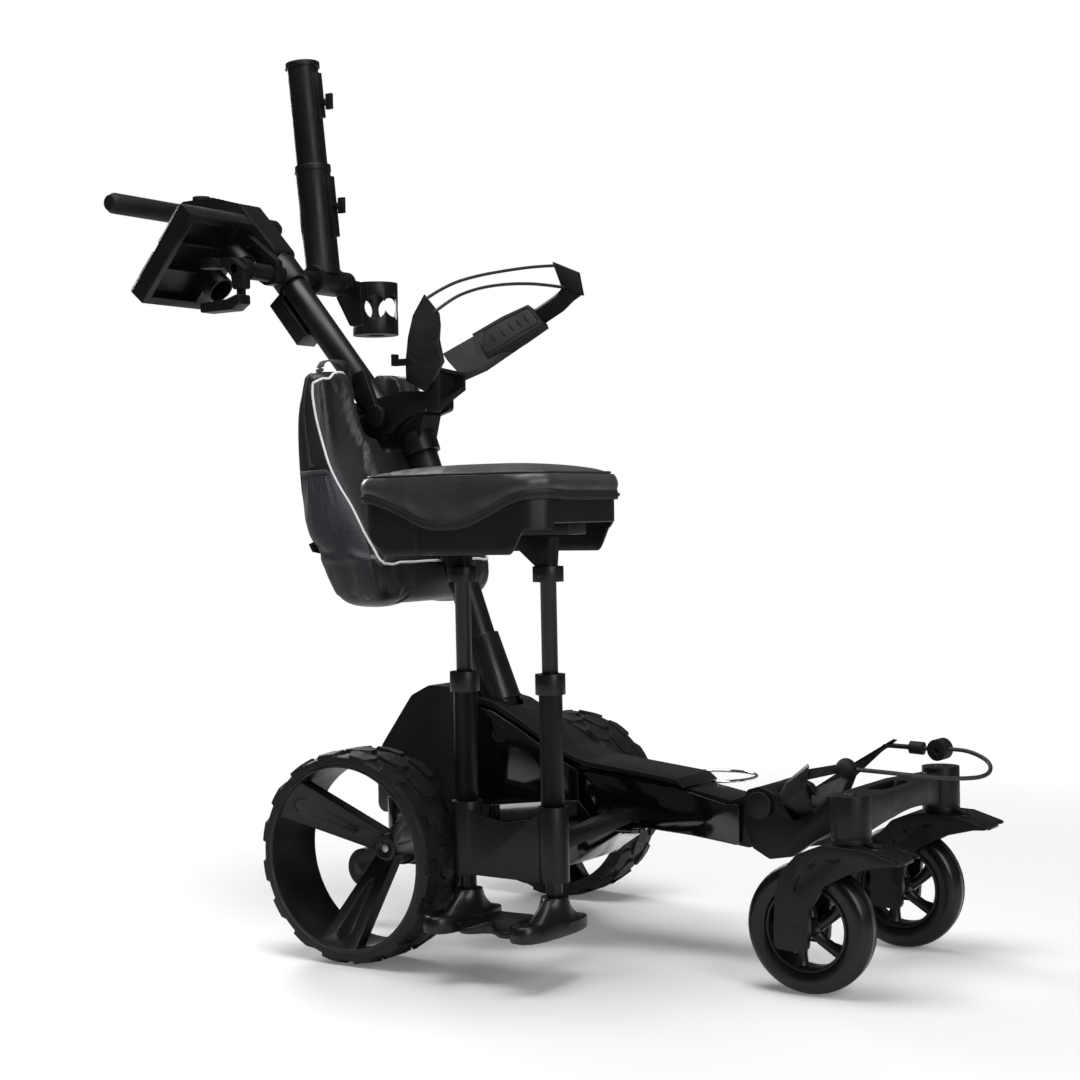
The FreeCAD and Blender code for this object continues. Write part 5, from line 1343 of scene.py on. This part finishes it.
def flank_rings():
    """A raised ring on each gloss flank."""
    rings = []
    for side in (-1, 1):
        near, far = sorted((side * 56.9, side * 58.4))
        rings.append(lathe("ring", [(10.6, near), (12.6, near), (12.6, far), (10.6, far)], (91, 0, 305), "Y",
                           48))
    return dress(merged("flank_rings", rings), "gloss", "chassis")


class TROLLEY_OT_fine_parts(bpy.types.Operator):
    """Makes the forks, the front bridge, the feet, the drinks cup, the screws, the flank rings and the pad's ridges"""
    bl_idname = "trolley.fine_parts"
    bl_label = "Fine parts"

    def execute(self, context):
        """Builds the reworked frame parts and the small hardware."""
        for name, side in SIDES:
            caster_fork(name, side)
        front_bridge()
        seat_feet()
        drinks_cup()
        pad_ridges()
        flank_rings()
        near = (0, -1, 0)
        screws("seat_screws", "seat", [((x, -293, 553), near, 3.6) for x in LEGS_X])
        screws("leg_screws", "chassis", [((x, -292.5, 405), near, 3.4) for x in LEGS_X])
        screws("axle_screws", "front_frame", [((STEM_X, side * CASTER_Y, 264), (0, 0, 1), 8) for side in (-1,
                                                                                                          1)])
        return {"FINISHED"}


# ==== carried-over frame =======================================================================
NODE_FINISHES = {
    "axle_shaft_right": ("steel", 0.5), "axle_shaft_left": ("steel", 0.5), "axle_housing": ("nylon", 0.8),
    "drive_units": ("steel", 0), "anti_tip_wheel_right": ("soft", 1.5), "anti_tip_wheel_left": ("soft", 1.5),
    "lock_peg_right": ("nylon", 0.8), "lock_peg_left": ("nylon", 0.8), "battery_pack": ("case", 1.5),
    "chassis_tray": ("gloss", 1.2), "rear_cover": ("satin", 1.5), "side_panels": ("gloss", 1.5),
    "spine_cover": ("satin", 0.8), "main_beam": ("nylon", 1.5), "hinge_pins": ("nylon", 1.0),
    "column_socket": ("satin", 1.0), "lower_column": ("tube", 0.4), "hinge_bracket": ("nylon", 1.2),
    "cradle_arm_right": ("nylon", 1.0), "cradle_arm_left": ("soft", 1.0), "cradle_strap": ("soft", 0.8),
    "bottle_ring": ("chrome", 0), "front_yoke": ("nylon", 2.0), "lower_cradle": ("nylon", 1.2),
    "lower_strap": ("soft", 0.8), "upper_tube": ("tube", 0.4),
    "tube_fittings": ("satin", 1.2), "latch_lever": ("nylon", 2.2), "console": ("nylon", 2.0),
    "handlebar": ("soft", 1.0), "speed_dial": ("soft", 0.8), "power_button": ("gloss", 0.8),
    "accessory_tube": ("nylon", 1.0), "scorecard_tray": ("nylon", 1.2), "scorecard_lid": ("clear", 0.4),
    "gps_holder": ("nylon", 1.4), "gps_jaw": ("nylon", 1.4), "umbrella_base": ("nylon", 1.0),
    "umbrella_stage": ("nylon", 1.0), "thumb_screw_lower": ("nylon", 0.6), "thumb_screw_upper": ("nylon",
                                                                                                 0.6),
    "seat_bracket": ("nylon", 2.0), "seat_outer_tubes": ("tube", 0.6), "seat_posts": ("tube", 0.8),
}


class TROLLEY_OT_frame(bpy.types.Operator):
    """Gives the carried-over frame parts their surfaces and eased edges"""
    bl_idname = "trolley.frame"
    bl_label = "Frame surfaces"

    def execute(self, context):
        """Dresses every CAD node that shows as it is."""
        for node, (finish_name, edge) in NODE_FINISHES.items():
            dress_node(node, finish_name, edge)
        return {"FINISHED"}


class TROLLEY_PT_panel(bpy.types.Panel):
    """Lists the trolley's pieces"""
    bl_label = "Golf trolley"
    bl_idname = "TROLLEY_PT_panel"
    bl_space_type = "VIEW_3D"
    bl_region_type = "UI"
    bl_category = "Trolley"

    def draw(self, context):
        """Draws one button for each group of pieces, and the sizes."""
        for step in STEPS:
            self.layout.operator(step.bl_idname)
        for name in TrolleySettings.__annotations__:
            self.layout.prop(context.scene.trolley, name)


STEPS = (TROLLEY_OT_stage, TROLLEY_OT_cords, TROLLEY_OT_rear_wheels, TROLLEY_OT_casters, TROLLEY_OT_seat,
         TROLLEY_OT_bag, TROLLEY_OT_fine_parts, TROLLEY_OT_frame)
CLASSES = (TrolleySettings, *STEPS, TROLLEY_PT_panel)


def register():
    """Registers the classes and the settings."""
    for kind in CLASSES:
        bpy.utils.register_class(kind)
    bpy.types.Scene.trolley = bpy.props.PointerProperty(type=TrolleySettings)


def unregister():
    """Takes the settings and the classes away again."""
    del bpy.types.Scene.trolley
    for kind in reversed(CLASSES):
        bpy.utils.unregister_class(kind)


def main():
    """Builds every piece in order."""
    register()
    for step in STEPS:
        group, name = step.bl_idname.split(".")
        getattr(getattr(bpy.ops, group), name)()


if __name__ == "__main__":
    main()
